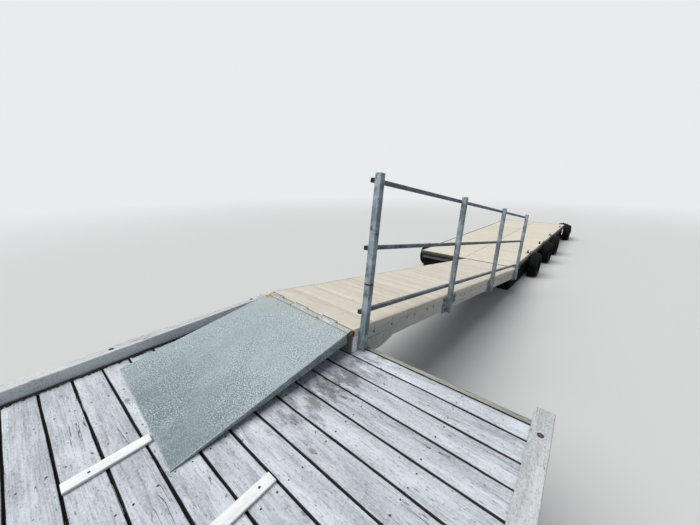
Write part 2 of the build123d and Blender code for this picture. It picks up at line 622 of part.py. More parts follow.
for side, x in FLOAT_SIDES.items():
    save(f"float_{side}_planks", *float_planks(x))
save("float_billets", *[billet for x in FLOAT_SIDES.values() for billet in billets(x)])
rim_z = (FLOAT_DECK_Z - FLOAT_RIM_H, FLOAT_DECK_Z)
rim_x = (-FLOAT_LEFT, FLOAT_RIGHT)
inner_y = (FLOAT_FRONT + BOARD_T, FLOAT_BACK - BOARD_T)
save("float_front_rim", board_x(rim_x, (FLOAT_FRONT, FLOAT_FRONT + BOARD_T), rim_z))
save("float_back_rim", board_x(rim_x, (FLOAT_BACK - BOARD_T, FLOAT_BACK), rim_z))
save("float_left_rim", board_y((-FLOAT_LEFT, -FLOAT_LEFT + BOARD_T), inner_y, rim_z))
save("float_right_rim", board_y((FLOAT_RIGHT - BOARD_T, FLOAT_RIGHT), inner_y, rim_z))
joist_z = (BILLET_TOP, FLOAT_JOIST_TOP)
joist_span = (-FLOAT_LEFT + BOARD_T, FLOAT_RIGHT - BOARD_T)
joist_ys = spread(inner_y[0] + BOARD_T / 2, inner_y[1] - BOARD_T / 2, FLOAT_JOIST_COUNT)
save("float_joists", *[block(joist_span, (y - BOARD_T / 2, y + BOARD_T / 2), joist_z) for y in joist_ys])


def tyre():
    """A hollow tyre round the X axis, with its tread, shoulders and open bead."""
    half = TYRE_W / 2
    tread = half * TREAD_SHARE
    hollow = half - TYRE_WALL
    bead = TYRE_BORE_R + TYRE_BEAD
    shoulder = TYRE_R - TYRE_SHOULDER
    crown = TYRE_R - TYRE_WALL
    outer = [(TYRE_BORE_R, -tread), (bead, -half), (shoulder, -half), (TYRE_R, -tread),
             (TYRE_R, tread), (shoulder, half), (bead, half), (TYRE_BORE_R, tread)]
    inner = [(TYRE_BORE_R, tread - TYRE_WALL), (bead, hollow), (shoulder, hollow), (crown, tread - TYRE_WALL),
             (crown, TYRE_WALL - tread), (shoulder, -hollow), (bead, -hollow), (TYRE_BORE_R, TYRE_WALL - tread)]
    section = make_face(Polyline(*outer, *inner, close=True))
    return Rot(0, 90, 0) * revolve(Plane.XZ * section, Axis.Z)


def tyre_rope():
    """A taut rope from the deck's edge, over the rim and through a hole in the tread."""
    line = FilletPolyline((TYRE_W / 2 + TYRE_OFF, TYRE_TOP - TYRE_WALL - 14), (TYRE_W / 2 + TYRE_OFF, ROPE_Z),
                          (-ROPE_INSET, ROPE_Z), (-ROPE_INSET, FLOAT_DECK_Z + 4), radius=20)
    path = Plane.XZ * line
    rope = sweep((path ^ 0) * Circle(ROPE_R), path)
    knot = Pos(TYRE_W / 2 + TYRE_OFF, 0, TYRE_TOP - TYRE_WALL - 20) * Sphere(ROPE_R * 1.8)
    plate = Pos(-ROPE_INSET, 0, FLOAT_DECK_Z + 3) * Box(ROPE_PLATE, ROPE_PLATE, 6)
    return rope + knot + plate


fender = tyre() - Pos(0, 0, TYRE_R - TYRE_WALL) * Cylinder(ROPE_R + SEAT, 60)
hanger = tyre_rope()
side_off = TYRE_W / 2 + TYRE_OFF
right_side = [Pos(FLOAT_RIGHT, FLOAT_FRONT + share * TYRE_RUN, 0) for share in RIGHT_TYRES]
left_side = [Pos(-FLOAT_LEFT, FLOAT_FRONT + share * TYRE_RUN, 0) * Rot(0, 0, 180) for share in LEFT_TYRES]
far_end = [Pos(x, FLOAT_BACK, 0) * Rot(0, 0, 90) for x in END_TYRES]
hung = Pos(side_off, 0, TYRE_Z) * fender
save("tyres_right", *[place * hung for place in right_side])
save("tyre_left", *[place * hung for place in left_side])
save("tyre_end", *[place * hung for place in far_end])
save("tyre_ropes", *[place * hanger for place in right_side + left_side + far_end])


def cleat():
    """A horned cleat on two feet."""
    bar = Rot(90, 0, 0) * Cylinder(CLEAT_R, CLEAT_LENGTH)
    result = Pos(0, 0, CLEAT_UP) * fillet(bar.edges(), CLEAT_R - 4)
    for y in (-CLEAT_FEET, CLEAT_FEET):
        result += Pos(0, y, CLEAT_UP / 2) * Cylinder(CLEAT_FOOT_R, CLEAT_UP)
    width, length, height = CLEAT_BASE
    return result + Pos(0, 0, height / 2) * Box(width, length, height)


cleat_x = FLOAT_RIGHT - CLEAT_INSET
save("cleats", *[Pos(cleat_x, FLOAT_FRONT + share * TYRE_RUN, FLOAT_DECK_Z) * cleat() for share in CLEATS])
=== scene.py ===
"""The looks of the timber jetty: weathered boards, a gritty ramp plate, galvanised rails, and a float
with black buoyancy blocks and old tyres.

Metres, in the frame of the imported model. New pieces are grids of points worked out with numpy. Their
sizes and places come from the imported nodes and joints, and each rides on its own body.
"""
import json
from math import cos, pi, radians, sin, tan, tau

import bpy
import numpy as np
from mathutils import Matrix


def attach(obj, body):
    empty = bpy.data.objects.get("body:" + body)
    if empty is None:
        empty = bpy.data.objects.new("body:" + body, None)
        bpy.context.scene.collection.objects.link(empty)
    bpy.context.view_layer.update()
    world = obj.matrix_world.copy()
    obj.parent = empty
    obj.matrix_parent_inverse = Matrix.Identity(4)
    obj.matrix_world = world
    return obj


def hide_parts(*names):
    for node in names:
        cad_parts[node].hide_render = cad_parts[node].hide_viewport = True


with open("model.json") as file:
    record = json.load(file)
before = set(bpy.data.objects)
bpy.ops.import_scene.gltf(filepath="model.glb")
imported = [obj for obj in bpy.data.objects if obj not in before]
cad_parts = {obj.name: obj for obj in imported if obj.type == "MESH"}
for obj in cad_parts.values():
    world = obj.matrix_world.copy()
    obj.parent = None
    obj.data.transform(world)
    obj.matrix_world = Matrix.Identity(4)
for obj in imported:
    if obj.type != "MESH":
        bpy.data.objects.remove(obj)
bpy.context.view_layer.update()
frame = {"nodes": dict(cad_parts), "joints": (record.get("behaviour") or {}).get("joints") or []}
JOINTS = {joint["name"]: joint for joint in frame["joints"]}

# Directions and places that the landing, the gangway and the ramp plate are drawn in
SKEW = radians(3.0)               # the landing is turned by this against the gangway
SLOPE = radians(8.35)             # the gangway falls by this towards the float
RAMP_LEAN = radians(8.9625)       # the ramp plate falls by this towards its toe
HINGE = np.array(JOINTS["ramp_lift"]["pos_m"])
HINGE_BACK = 0.138                # landing's water edge to the ramp's hinge pin
EDGE = HINGE + (0, HINGE_BACK, 0)  # landing's water edge on the gangway's centre line

# Camera, solved from the deck lines of the photograph
CAMERA_AT = (1.2381, -1.0777, 2.330)
CAMERA_TURN = radians(42.46)      # left of +Y
CAMERA_DOWN = radians(16.94)
CAMERA_ROLL = radians(-0.083)
SENSOR = 36.0                     # millimetres, as is the lens
LENS = 14.68


def about(axis, angle):
    """The rotation matrix about axis 0, 1 or 2."""
    j, k = (axis + 1) % 3, (axis + 2) % 3
    turn = np.eye(3)
    turn[j, j] = turn[k, k] = cos(angle)
    turn[k, j] = sin(angle)
    turn[j, k] = -sin(angle)
    return turn


# A place is a rotation matrix and an origin
WORLD = (np.eye(3), np.zeros(3))
LANDING = (about(2, SKEW), np.array([EDGE[0], EDGE[1], 0]))
GANGWAY = (about(0, -SLOPE), HINGE)
RAMP = (about(0, RAMP_LEAN), HINGE)


def put(place, points):
    """Points of a place, in the frame's axes."""
    return points @ place[0].T + place[1]


def seen_in(place, points):
    """Points of the frame, in a place's axes."""
    return (points - place[1]) @ place[0]


def solids(node, place):
    """Low and high corners of each solid of a node, in a place's axes.

    Corners that share a triangle belong to one solid: each takes the lowest label in its triangles,
    over and over, until nothing changes.
    """
    mesh = frame["nodes"][node].data
    mesh.calc_loop_triangles()
    corners = np.empty(len(mesh.vertices) * 3)
    mesh.vertices.foreach_get("co", corners)
    triangles = np.empty(len(mesh.loop_triangles) * 3, int)
    mesh.loop_triangles.foreach_get("vertices", triangles)
    places, index = np.unique(corners.reshape(-1, 3).round(5), axis=0, return_inverse=True)
    triangles = index.ravel()[triangles].reshape(-1, 3)
    label = np.arange(len(places))
    while True:
        lowest = label[triangles].min(axis=1)
        new = label.copy()
        for k in range(3):
            np.minimum.at(new, triangles[:, k], lowest)
        if (new == label).all():
            break
        label = new
    local = seen_in(place, places)
    boxes = [(local[label == name].min(0), local[label == name].max(0)) for name in np.unique(label)]
    return sorted(boxes, key=lambda box: tuple((box[0] + box[1]).round(3)[[1, 0, 2]]))


def smooth(value, low, high):
    """0 below low and 1 above high, with a smooth step between."""
    t = np.clip((value - low) / (high - low), 0, 1)
    return t * t * (3 - 2 * t)


def wander(s, seed, wave=0.4):
    """An uneven line about zero: five sines, each 1.9 times as quick as the last and 0.6 as high."""
    phases = np.random.default_rng(seed).uniform(0, tau, 5)
    return sum(0.6 ** k * np.sin(tau * s / wave * 1.9 ** k + phases[k]) for k in range(5)) * 0.5


def speckle(x, y, cell, seed):
    """Smooth noise from 0 to 1: random values on a square lattice, blended by smooth steps."""
    values = np.random.default_rng(seed).random((257, 257))
    u, v = x / cell % 256, y / cell % 256
    i, j = u.astype(int), v.astype(int)
    fu, fv = smooth(u - i, 0, 1), smooth(v - j, 0, 1)
    near = values[i, j] * (1 - fu) + values[i + 1, j] * fu
    far = values[i, j + 1] * (1 - fu) + values[i + 1, j + 1] * fu
    return near * (1 - fv) + far * fv


def rounded(width, height, radius, steps=4):
    """Outline of a rectangle with round corners, about its centre: four quarter arcs in turn."""
    angle = np.linspace(0, pi / 2, steps)
    parts = []
    for k, (sx, sy) in enumerate(((1, 1), (-1, 1), (-1, -1), (1, -1))):
        centre = np.array([sx * (width / 2 - radius), sy * (height / 2 - radius)])
        arc = np.stack([np.cos(angle + k * pi / 2), np.sin(angle + k * pi / 2)], -1)
        parts.append(centre + radius * arc)
    return np.concatenate(parts)


class Shape:
    """Grids of points that become one mesh.

    A grid's rows follow a path and its columns go round it. Each point keeps grain, its place in the
    plank or bar that it belongs to, seed, that piece's own number, and its stain and painted shade: how
    dirty, stained or rusty the spot is, and how much shade is painted on it.
    """

    def __init__(self):
        self.points, self.faces, self.grain, self.seed, self.stain_and_shade = [], [], [], [], []
        self.count = 0

    def grid(self, points, grain=None, seed=0.0, stain_and_shade=0.0, loop=False):
        """Adds rows of points, each closed round the path. A loop's last row joins its first, and any
        other grid is capped at both ends. Rows that would face inwards are turned round."""
        rows, columns = points.shape[:2]
        grain = points if grain is None else grain
        stain_and_shade = np.broadcast_to(stain_and_shade, (rows, columns))
        centre = points.mean(axis=1)
        first = points[0] - centre[0]
        turning = np.cross(first, np.roll(first, -1, axis=0)).sum(axis=0)
        step = next((c - centre[0] for c in centre[1:] if np.linalg.norm(c - centre[0]) > 1e-7), turning)
        if turning @ step < 0:
            points, grain, stain_and_shade = points[:, ::-1], grain[:, ::-1], stain_and_shade[:, ::-1]
        index = np.arange(rows * columns).reshape(rows, columns) + self.count
        full = np.concatenate([index, index[:, :1]], 1)
        if loop:
            full = np.concatenate([full, full[:1]], 0)
        quads = np.stack([full[:-1, :-1], full[:-1, 1:], full[1:, 1:], full[1:, :-1]], -1)
        self.faces += quads.reshape(-1, 4).tolist()
        if not loop:
            self.faces += [index[0][::-1].tolist(), index[-1].tolist()]
        self.points.append(points.reshape(-1, 3))
        self.grain.append(np.broadcast_to(grain, points.shape).reshape(-1, 3))
        self.seed.append(np.broadcast_to(seed, (rows, columns)).reshape(-1).astype(float))
        self.stain_and_shade.append(stain_and_shade.reshape(-1).astype(float))
        self.count += rows * columns

    def build(self, name, paint, body, stands_for=(), crease=35):
        """Makes the mesh, and gives it its material, body and the nodes that it stands for."""
        mesh = bpy.data.meshes.new(name)
        mesh.from_pydata(np.concatenate(self.points), [], self.faces)
        for key, kind, field, parts in (("grain", "FLOAT_VECTOR", "vector", self.grain),
                                        ("seed", "FLOAT", "value", self.seed),
                                        ("stain_and_shade", "FLOAT", "value", self.stain_and_shade)):
            layer = mesh.attributes.new(key, kind, "POINT")
            layer.data.foreach_set(field, np.concatenate(parts).astype(np.float32).ravel())
        mesh.materials.append(paint)
        mesh.shade_smooth()
        mesh.set_sharp_from_angle(angle=radians(crease))
        piece = bpy.data.objects.new(name, mesh)
        bpy.context.scene.collection.objects.link(piece)
        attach(piece, body)
        if stands_for:
            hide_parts(*stands_for)


def colour(red, green, blue):
    """A colour of 0 to 255 as shown, made linear for a shader."""
    shown = np.array([red, green, blue]) / 255
    linear = np.where(shown < 0.04045, shown / 12.92, ((shown + 0.055) / 1.055) ** 2.4)
    return (*linear.tolist(), 1.0)


class Field:
    """A socket of a material. Arithmetic on it adds Math nodes."""

    def __init__(self, paint, socket):
        self.paint, self.socket = paint, socket

    def out(self, name):
        """Another output of the same node."""
        return Field(self.paint, self.socket.node.outputs[name])

    def math(self, operation, *values):
        return self.paint.node("Math", {"operation": operation}, dict(enumerate((self, *values))))

    def __add__(self, other):
        return self.math("ADD", other)

    def __sub__(self, other):
        return self.math("SUBTRACT", other)

    def __mul__(self, other):
        return self.math("MULTIPLY", other)

    def __truediv__(self, other):
        return self.math("DIVIDE", other)

    def __rsub__(self, other):
        return self * -1.0 + other

    __radd__, __rmul__ = __add__, __mul__

    def abs(self):
        return self.math("ABSOLUTE")

    def root(self):
        return self.math("SQRT")

    def fraction(self):
        return self.math("FRACT")

    def over(self, low, high):
        """0 at low and 1 at high, smooth between. Low may be the larger of the two."""
        if low > high:
            return 1 - self.over(high, low)
        return self.paint.node("MapRange", {"interpolation_type": "SMOOTHSTEP"}, {0: self, 1: low, 2: high})


class Paint:
    """A material made of nodes around one Principled shader."""

    def __init__(self, name):
        self.material = bpy.data.materials.new(name)
        self.material.use_nodes = True
        self.tree = self.material.node_tree
        self.shader = self.tree.nodes["Principled BSDF"]

    def plug(self, socket, value):
        if isinstance(value, Field):
            self.tree.links.new(value.socket, socket)
        else:
            socket.default_value = value

    def node(self, kind, settings=None, sockets=None, output=0):
        """One node of any kind: its settings first, then the values or links of its sockets."""
        made = self.tree.nodes.new("ShaderNode" + kind)
        for key, value in (settings or {}).items():
            setattr(made, key, value)
        for key, value in (sockets or {}).items():
            self.plug(made.inputs[key], value)
        return Field(self, made.outputs[output])

    def finish(self, **sockets):
        for key, value in sockets.items():
            self.plug(self.shader.inputs[key.replace("_", " ")], value)
        return self.material

    def read(self, name, output="Fac"):
        """A number or vector that the mesh keeps at its points."""
        return self.node("Attribute", {"attribute_name": name}, output=output)

    def split(self, vector):
        parts = self.node("SeparateXYZ", sockets={0: vector})
        return parts, parts.out("Y"), parts.out("Z")

    def join(self, x, y, z):
        return self.node("CombineXYZ", sockets={0: x, 1: y, 2: z})

    def mix(self, amount, low, high):
        """Colour low where amount is 0, and high where it is 1."""
        return self.node("Mix", {"data_type": "RGBA"}, {0: amount, 6: low, 7: high}, output=2)

    def shade(self, tint, level):
        """A colour made lighter or darker by a number."""
        grey = self.node("CombineColor", sockets={0: level, 1: level, 2: level})
        settings = {"data_type": "RGBA", "blend_type": "MULTIPLY"}
        return self.node("Mix", settings, {0: 1.0, 6: tint, 7: grey}, output=2)

    def noise(self, vector, scale=1.0, detail=2.0, rough=0.5):
        sockets = {"Vector": vector, "Scale": scale, "Detail": detail, "Roughness": rough}
        return self.node("TexNoise", {}, sockets)

    def place(self):
        """The point on the object, in metres."""
        return self.node("TexCoord", output="Object")

    def distance(self, point):
        """How far the point on the object is from one place."""
        sockets = {0: self.place(), 1: tuple(point)}
        return self.node("VectorMath", {"operation": "DISTANCE"}, sockets, output="Value")

    def bump(self, height, distance, strength=1.0):
        return self.node("Bump", {}, {"Height": height, "Distance": distance, "Strength": strength})


KNOT_PITCH, KNOT_ROW = 0.55, 0.13  # the scattered lattice that knots stand in


def knot_field(p, x, y, seed, share):
    """Knots in a share of a scattered lattice's cells: how the grain flows round them, how many radii
    away the nearest is, and whether its cell has one.

    The grain flows like water round a post: by y - 2.2 dy k k / (r r + k k / 2), with k the knot's
    radius and r the distance to it.
    """
    at = p.join(x / KNOT_PITCH + seed * 3.7, y / KNOT_ROW + seed * 0.61, 0.0)
    cell = p.node("TexVoronoi", {"voronoi_dimensions": "2D"}, {"Vector": at, "Scale": 1.0}, output="Color")
    luck, size, _ = p.split(cell)
    cx, cy, _ = p.split(cell.out("Position"))
    ax, ay, _ = p.split(at)
    dx, dy = (ax - cx) * KNOT_PITCH, (ay - cy) * KNOT_ROW
    far = dx * dx * 0.3 + dy * dy
    radius = size * 0.011 + 0.004
    present = luck.over(1.0 - share, 1.02 - share)
    flow = y - dy * radius * radius * 2.2 / (far + radius * radius * 0.5) * present
    return flow, far.root() / radius, present


def growth_rings(x, flow, z, chance, rings, drift):
    """Lines where the saw met the log's rings: circles about a pith below or above the plank, leaned a
    little so that they draw arches."""
    side = flow - (chance[0] - 0.5) * 0.16
    depth = z - 0.015 - chance[1] * 0.07 + x * (chance[2] - 0.5) * 0.05
    return ((side * side + depth * depth).root() * rings + drift * 1.6).fraction().over(0.50, 0.96)


def blots(p, spot):
    """Blots of dirt in an ellipse on the object, given as its middle and half widths in X and Y."""
    x, y, _ = p.split(p.place())
    east, north = (x - spot[0]) / spot[2], (y - spot[1]) / spot[3]
    blot = p.noise(p.join(x * 7.0, y * 16.0, 0.0), 1.0, 5.0, 0.68)
    return ((east * east + north * north).root() + (blot - 0.5) * 4.2).over(1.0, 0.1)


def timber(name, tone, pale, dark, stain_and_shade, lines=0.5, fibre=0.3, cracks=0.6, knots=0.4, rings=150.0,
           flecks=0.5, heartwood=None, relief=0.0014, mottled=0.5, streaks=0.2, flaking=0.0, grime=None,
           foot=None):
    """Sawn timber left to weather, cut from a log with growth rings and knots.

    Raised grain and cracks are contours of stretched noise, streaks its high and low parts, and flecks
    its highest peaks. Grime, where given, is the spot that has blots of dirt. Foot, where given, is the
    depth below the top at which dirt begins.
    """
    shown = (tone, pale, dark, stain_and_shade, heartwood or dark)
    tone, pale, dark, stain_and_shade, heartwood = [colour(*part) for part in shown]
    p = Paint(name)
    seed = p.read("seed")
    x, y, z = p.split(p.read("grain", "Vector"))
    chance = p.split(p.node("TexWhiteNoise", {"noise_dimensions": "1D"}, {"W": seed}, output="Color"))
    flow, wide, present = knot_field(p, x, y, seed, knots)
    drift = p.noise(p.join(x * 0.9 + seed * 5.1, flow * 14.0, z * 14.0 + seed * 7.7), 1.0, 3.0)
    mottle = p.noise(p.join(x * 5.0 + seed * 2.9, y * 15.0, z * 15.0), 1.0, 4.0, 0.6)
    patch = p.noise(p.join(x * 1.7 + seed * 4.3, y * 7.0, seed * 1.7), 1.0, 2.0)
    line = growth_rings(x, flow, z, chance, rings, drift) * patch.over(0.42, 0.62)
    thread = p.noise(p.join(x * 9.0 + seed, flow * 330.0, z * 330.0), 1.0, 2.0, 0.6)
    curl = p.noise(p.join(x * 2.6 + seed * 6.1, flow * 26.0, z * 26.0 + seed), 1.0, 2.0)
    raised = (curl - 0.5).abs().over(0.030, 0.004) * (0.62 - patch).over(0.0, 0.16)
    split = p.noise(p.join(x * 2.4 + seed * 3.1, flow * 30.0, z * 30.0 + seed), 1.0, 2.0)
    where = p.noise(p.join(x * 3.1 + seed * 9.7, y * 11.0, seed), 1.0, 1.0)
    crack = (split - 0.5).abs().over(0.011, 0.003) * where.over(0.64 - 0.10 * cracks, 0.70 - 0.10 * cracks)
    peak = p.noise(p.join(x * 44.0 + seed, flow * 110.0, z * 110.0 + seed * 2.3), 1.0, 2.0, 0.6)
    pit = peak.over(0.64, 0.70)
    streak = p.noise(p.join(x * 5.5 + seed * 1.3, flow * 95.0, z * 95.0 + seed * 0.9), 1.0, 4.0, 0.72)
    heart = wide.over(1.15, 0.5) * present
    swirl = (wide * 1.9 + drift).fraction().over(0.45, 0.9) * wide.over(3.4, 1.2) * present
    tint = p.mix(drift.over(0.36, 0.68) * (1 - mottled) + mottle.over(0.36, 0.66) * mottled, tone, pale)
    tint = p.mix(streak.over(0.52, 0.66) * streaks, tint, pale)
    tint = p.mix(streak.over(0.485, 0.36) * streaks, tint, dark)
    tint = p.mix(line * lines, tint, dark)
    if flaking:
        flake = p.noise(p.join(x * 70.0 + seed, y * 95.0, z * 95.0), 1.0, 3.0, 0.6)
        tint = p.mix(flake.over(0.52, 0.64) * flaking, tint, pale)
        tint = p.mix(flake.over(0.47, 0.36) * flaking * 0.6, tint, dark)
    tint = p.mix(raised * fibre * 1.4, tint, pale)
    tint = p.mix(pit * flecks, tint, dark)
    tint = p.mix(heart * 0.55 + swirl * 0.28, tint, heartwood)
    tint = p.shade(tint, (thread - 0.5) * fibre + (chance[2] - 0.5) * 0.09 + 1.0)
    tint = p.mix(crack * 0.75, tint, stain_and_shade)
    if grime:
        tint = p.mix(blots(p, grime) * 0.58, tint, stain_and_shade)
    if foot:
        tint = p.mix((z + (mottle - 0.5) * 0.03).over(foot - 0.004, foot + 0.006) * 0.75, tint, stain_and_shade)
    # The value kept at each point: dirt, and painted shade in gaps, on shaded sides and under overhangs
    tint = p.mix(p.read("stain_and_shade"), tint, stain_and_shade)
    height = (thread * 0.3 - line * 0.2 - crack * 1.2 - swirl * 0.4 - pit * 0.5 + raised * 0.3 + drift * 0.4
              + streak * streaks * 1.4)
    return p.finish(Base_Color=tint, Roughness=0.86, Specular_IOR_Level=0.25,
                    Normal=p.bump(height, relief, 0.7))


def coating(name):
    """Gritty paint on the ramp plate: pale pebbles on a greyer ground, in patches, dirtier towards the
    toe, and paler and rusted by the hinge. The pale and dark speckle is partly painted light and shade of
    the gritty relief, and the paleness by the hinge partly bleaching and partly a painted sheen of light
    glancing off the far part of the plate."""
    p = Paint(name)
    at = p.read("grain", "Vector")
    x, y, z = p.split(at)
    pebble = p.read("seed")
    cloud = p.noise(at, 5.0, 4.0, 0.6)
    fine = p.noise(p.join(x * 0.75, y * 1.25, z), 128.0, 2.0, 0.55)
    pebbly = p.noise(at, 3.4, 3.0, 0.55).over(0.40, 0.58) * 0.6 + 0.5
    streak = p.noise(p.join(x * 16.0, y * 3.0, z), 1.0, 3.0)
    toe = (y + (cloud - 0.5) * 0.5).over(-0.45, -1.20) * (x.over(-0.05, -0.5) * -0.8 + 1.0)
    hinge = (y + (cloud - 0.5) * 0.12 - x * 0.14).over(-0.34, -0.02)
    stained = (y + (cloud - 0.5) * 0.16 - x * 0.30).over(-0.05, 0.02) * x.over(-0.1, 0.3)
    # Pale on pebble tops and high fine noise, dark on low: partly grit, partly painted light and shade
    light = fine.over(0.50, 0.66) * (toe * -0.18 + 0.66) * pebbly + pebble * 0.14
    tint = p.mix(toe, colour(162, 176, 181), colour(120, 134, 139))
    # Paler by the hinge: partly bleaching, partly a painted sheen of light glancing off the far part
    tint = p.mix(hinge * 0.6, tint, colour(176, 184, 186))
    tint = p.mix(stained * 0.5, tint, colour(176, 172, 158))
    tint = p.mix(streak.over(0.50, 0.74) * 0.25, tint, colour(188, 198, 202))
    tint = p.mix((cloud - 0.1).over(0.46, 0.34) * 0.18, tint, colour(140, 154, 160))
    tint = p.mix(light, tint, colour(216, 225, 229))
    tint = p.mix(fine.over(0.50, 0.36) * 0.62 * pebbly, tint, colour(100, 115, 121))
    rusty = p.mix(fine.over(0.4, 0.6), colour(200, 164, 122), colour(134, 100, 72))
    tint = p.mix(p.read("stain_and_shade"), tint, rusty)
    return p.finish(Base_Color=tint, Roughness=0.8, Specular_IOR_Level=0.3,
                    Normal=p.bump(fine * pebbly, 0.0020, 0.85))


def plate_coating(name, rust_at):
    """The same paint on the plate itself, by its place on the object, with rust about one place.

    Its turned-down sides are the parts below the sheet's top, at (z - hz) cos lean - (y - hy) sin lean:
    painted shade makes them darker, and a painted highlight lighter again towards their upper edge. Its
    knuckles are stained, with a dark seam.
    """
    p = Paint(name)
    at = p.place()
    _, y, z = p.split(at)
    cloud = p.noise(at, 9.0, 4.0, 0.6)
    fine = p.noise(at, 120.0, 2.0, 0.6)
    near = (p.distance(rust_at) + (cloud - 0.5) * 0.10).over(0.10, 0.04)
    spot = p.noise(at, 26.0, 3.0, 0.65).over(0.66, 0.72)
    above = (z - HINGE[2]) * cos(RAMP_LEAN) - (y - HINGE[1]) * sin(RAMP_LEAN) - sheet_top
    before = (y - HINGE[1]) * cos(RAMP_LEAN) + (z - HINGE[2]) * sin(RAMP_LEAN)
    seam = (before + 0.0315).abs().over(0.0042, 0.0020) * cloud.over(0.36, 0.50)
    # Painted shade on the turned-down sides, and a painted highlight towards their upper edge
    side = p.mix(cloud.over(0.35, 0.65), colour(112, 124, 128), colour(146, 157, 160))
    side = p.mix(above.over(-0.020, -0.006) * 0.5, side, colour(168, 180, 186))
    tint = p.mix(cloud.over(0.35, 0.65), colour(156, 168, 172), colour(178, 186, 186))
    tint = p.mix(above.over(-0.002, -0.0045), tint, side)
    tint = p.mix(before.over(-0.032, -0.020) * cloud.over(0.40, 0.60) * 0.8, tint, colour(190, 190, 180))
    tint = p.mix(seam * 0.85, tint, colour(40, 40, 40))
    tint = p.mix(fine.over(0.50, 0.66) * 0.4, tint, colour(206, 214, 217))
    tint = p.mix(fine.over(0.50, 0.36) * 0.45, tint, colour(76, 86, 90))
    rusty = p.mix(fine.over(0.4, 0.6), colour(196, 158, 116), colour(132, 98, 70))
    tint = p.mix((near + spot * 0.35).math("MINIMUM", 1.0), tint, rusty)
    return p.finish(Base_Color=tint, Roughness=0.75, Specular_IOR_Level=0.35,
                    Normal=p.bump(fine, 0.0010, 0.7))


def plated(name, tone, pale, rust_at):
    """The hinge's leaves: a stained pale coat, with rust that gathers about one place."""
    p = Paint(name)
    at = p.place()
    cloud = p.noise(at, 14.0, 4.0, 0.6)
    fine = p.noise(at, 110.0, 2.0, 0.6)
    near = (p.distance(rust_at) + (cloud - 0.5) * 0.25).over(0.13, 0.03) * 0.8
    tint = p.mix(cloud.over(0.40, 0.62), colour(*tone), colour(*pale))
    tint = p.mix(fine.over(0.50, 0.36) * 0.4, tint, colour(96, 92, 84))
    tint = p.mix(p.noise(at, 30.0, 3.0, 0.7).over(0.60, 0.68) * 0.7, tint, colour(126, 84, 66))
    tint = p.mix(near, tint, p.mix(fine.over(0.4, 0.6), colour(204, 168, 124), colour(140, 106, 76)))
    return p.finish(Base_Color=tint, Roughness=0.75, Specular_IOR_Level=0.3,
                    Normal=p.bump(fine, 0.0008, 0.6))


def galvanised(name, tone=(118, 130, 138), pale=(156, 170, 180), dark=(50, 56, 62), rust=0.0):
    """Dull zinc: crystals of slightly different shade, white bloom, dark scuffs and a little rust."""
    p = Paint(name)
    at = p.place()
    x, y, z = p.split(at)
    crystal = p.node("TexVoronoi", {}, {"Vector": at, "Scale": 62.0}, output="Color")
    shade, _, _ = p.split(crystal)
    cloud = p.noise(at, 9.0, 4.0, 0.6)
    blot = p.noise(p.join(x, y, z * 0.55), 30.0, 4.0, 0.7)
    rusty = p.noise(at, 14.0, 4.0, 0.7).over(0.72 - rust * 0.2, 0.78 - rust * 0.2)
    tint = p.mix(cloud.over(0.4, 0.66), colour(*tone), colour(*pale))
    tint = p.shade(tint, shade * 0.26 + 0.87)
    tint = p.mix(blot.over(0.545, 0.66) * 0.8, tint, colour(*dark))
    tint = p.mix(rusty, tint, colour(112, 74, 50))
    rough = shade * 0.16 + cloud * 0.2 + 0.42
    return p.finish(Base_Color=tint, Metallic=0.15, Roughness=rough, Specular_IOR_Level=0.35,
                    Normal=p.bump(blot + shade * 0.3, 0.0006, 0.35))


def rusted(name, tone, pale, dark=(58, 38, 34)):
    """Scaly rust of three shades."""
    p = Paint(name)
    at = p.place()
    scale = p.noise(at, 70.0, 4.0, 0.65)
    cloud = p.noise(at, 18.0, 3.0)
    tint = p.mix(cloud.over(0.4, 0.6), colour(*tone), colour(*pale))
    tint = p.mix(scale.over(0.52, 0.66), tint, colour(*dark))
    return p.finish(Base_Color=tint, Roughness=0.9, Specular_IOR_Level=0.2,
                    Normal=p.bump(scale, 0.0012, 0.6))


def black_plastic(name):
    """Moulded black plastic of two close shades, with dried mud lower down."""
    p = Paint(name)
    at = p.place()
    x, y, z = p.split(at)
    grime = p.noise(p.join(x * 3.0, y * 3.0, z * 9.0), 1.0, 4.0, 0.6)
    fine = p.noise(at, 90.0, 2.0)
    muddy = (z + (grime - 0.5) * 0.16).over(0.34, 0.24) * grime.over(0.35, 0.6)
    tint = p.mix(grime.over(0.42, 0.7), colour(6, 7, 8), colour(22, 24, 24))
    tint = p.mix(muddy * 0.75, tint, colour(30, 29, 24))
    return p.finish(Base_Color=tint, Roughness=fine * 0.2 + 0.65, Specular_IOR_Level=0.08,
                    Normal=p.bump(fine + grime, 0.0012, 0.4))


def rubber(name):
    """Old tyre rubber: grey bloom, painted shade that blackens the tread's grooves, and dried mud towards
    the foot.
    """
    p = Paint(name)
    at = p.place()
    _, _, z = p.split(at)
    bloom = p.noise(at, 12.0, 4.0, 0.6)
    fine = p.noise(at, 210.0, 2.0)
    foot = (z + (bloom - 0.5) * 0.12).over(0.30, 0.16)
    tint = p.mix(bloom.over(0.38, 0.66), colour(7, 8, 9), colour(30, 32, 33))
    # Painted shade: near black in the tread's grooves
    tint = p.mix(p.read("stain_and_shade") * 0.8, tint, colour(5, 5, 5))
    tint = p.mix(foot * bloom.over(0.4, 0.6) * 0.6, tint, colour(32, 31, 26))
    return p.finish(Base_Color=tint, Roughness=bloom * 0.2 + 0.65, Specular_IOR_Level=0.10,
                    Normal=p.bump(fine + bloom, 0.0008, 0.5))


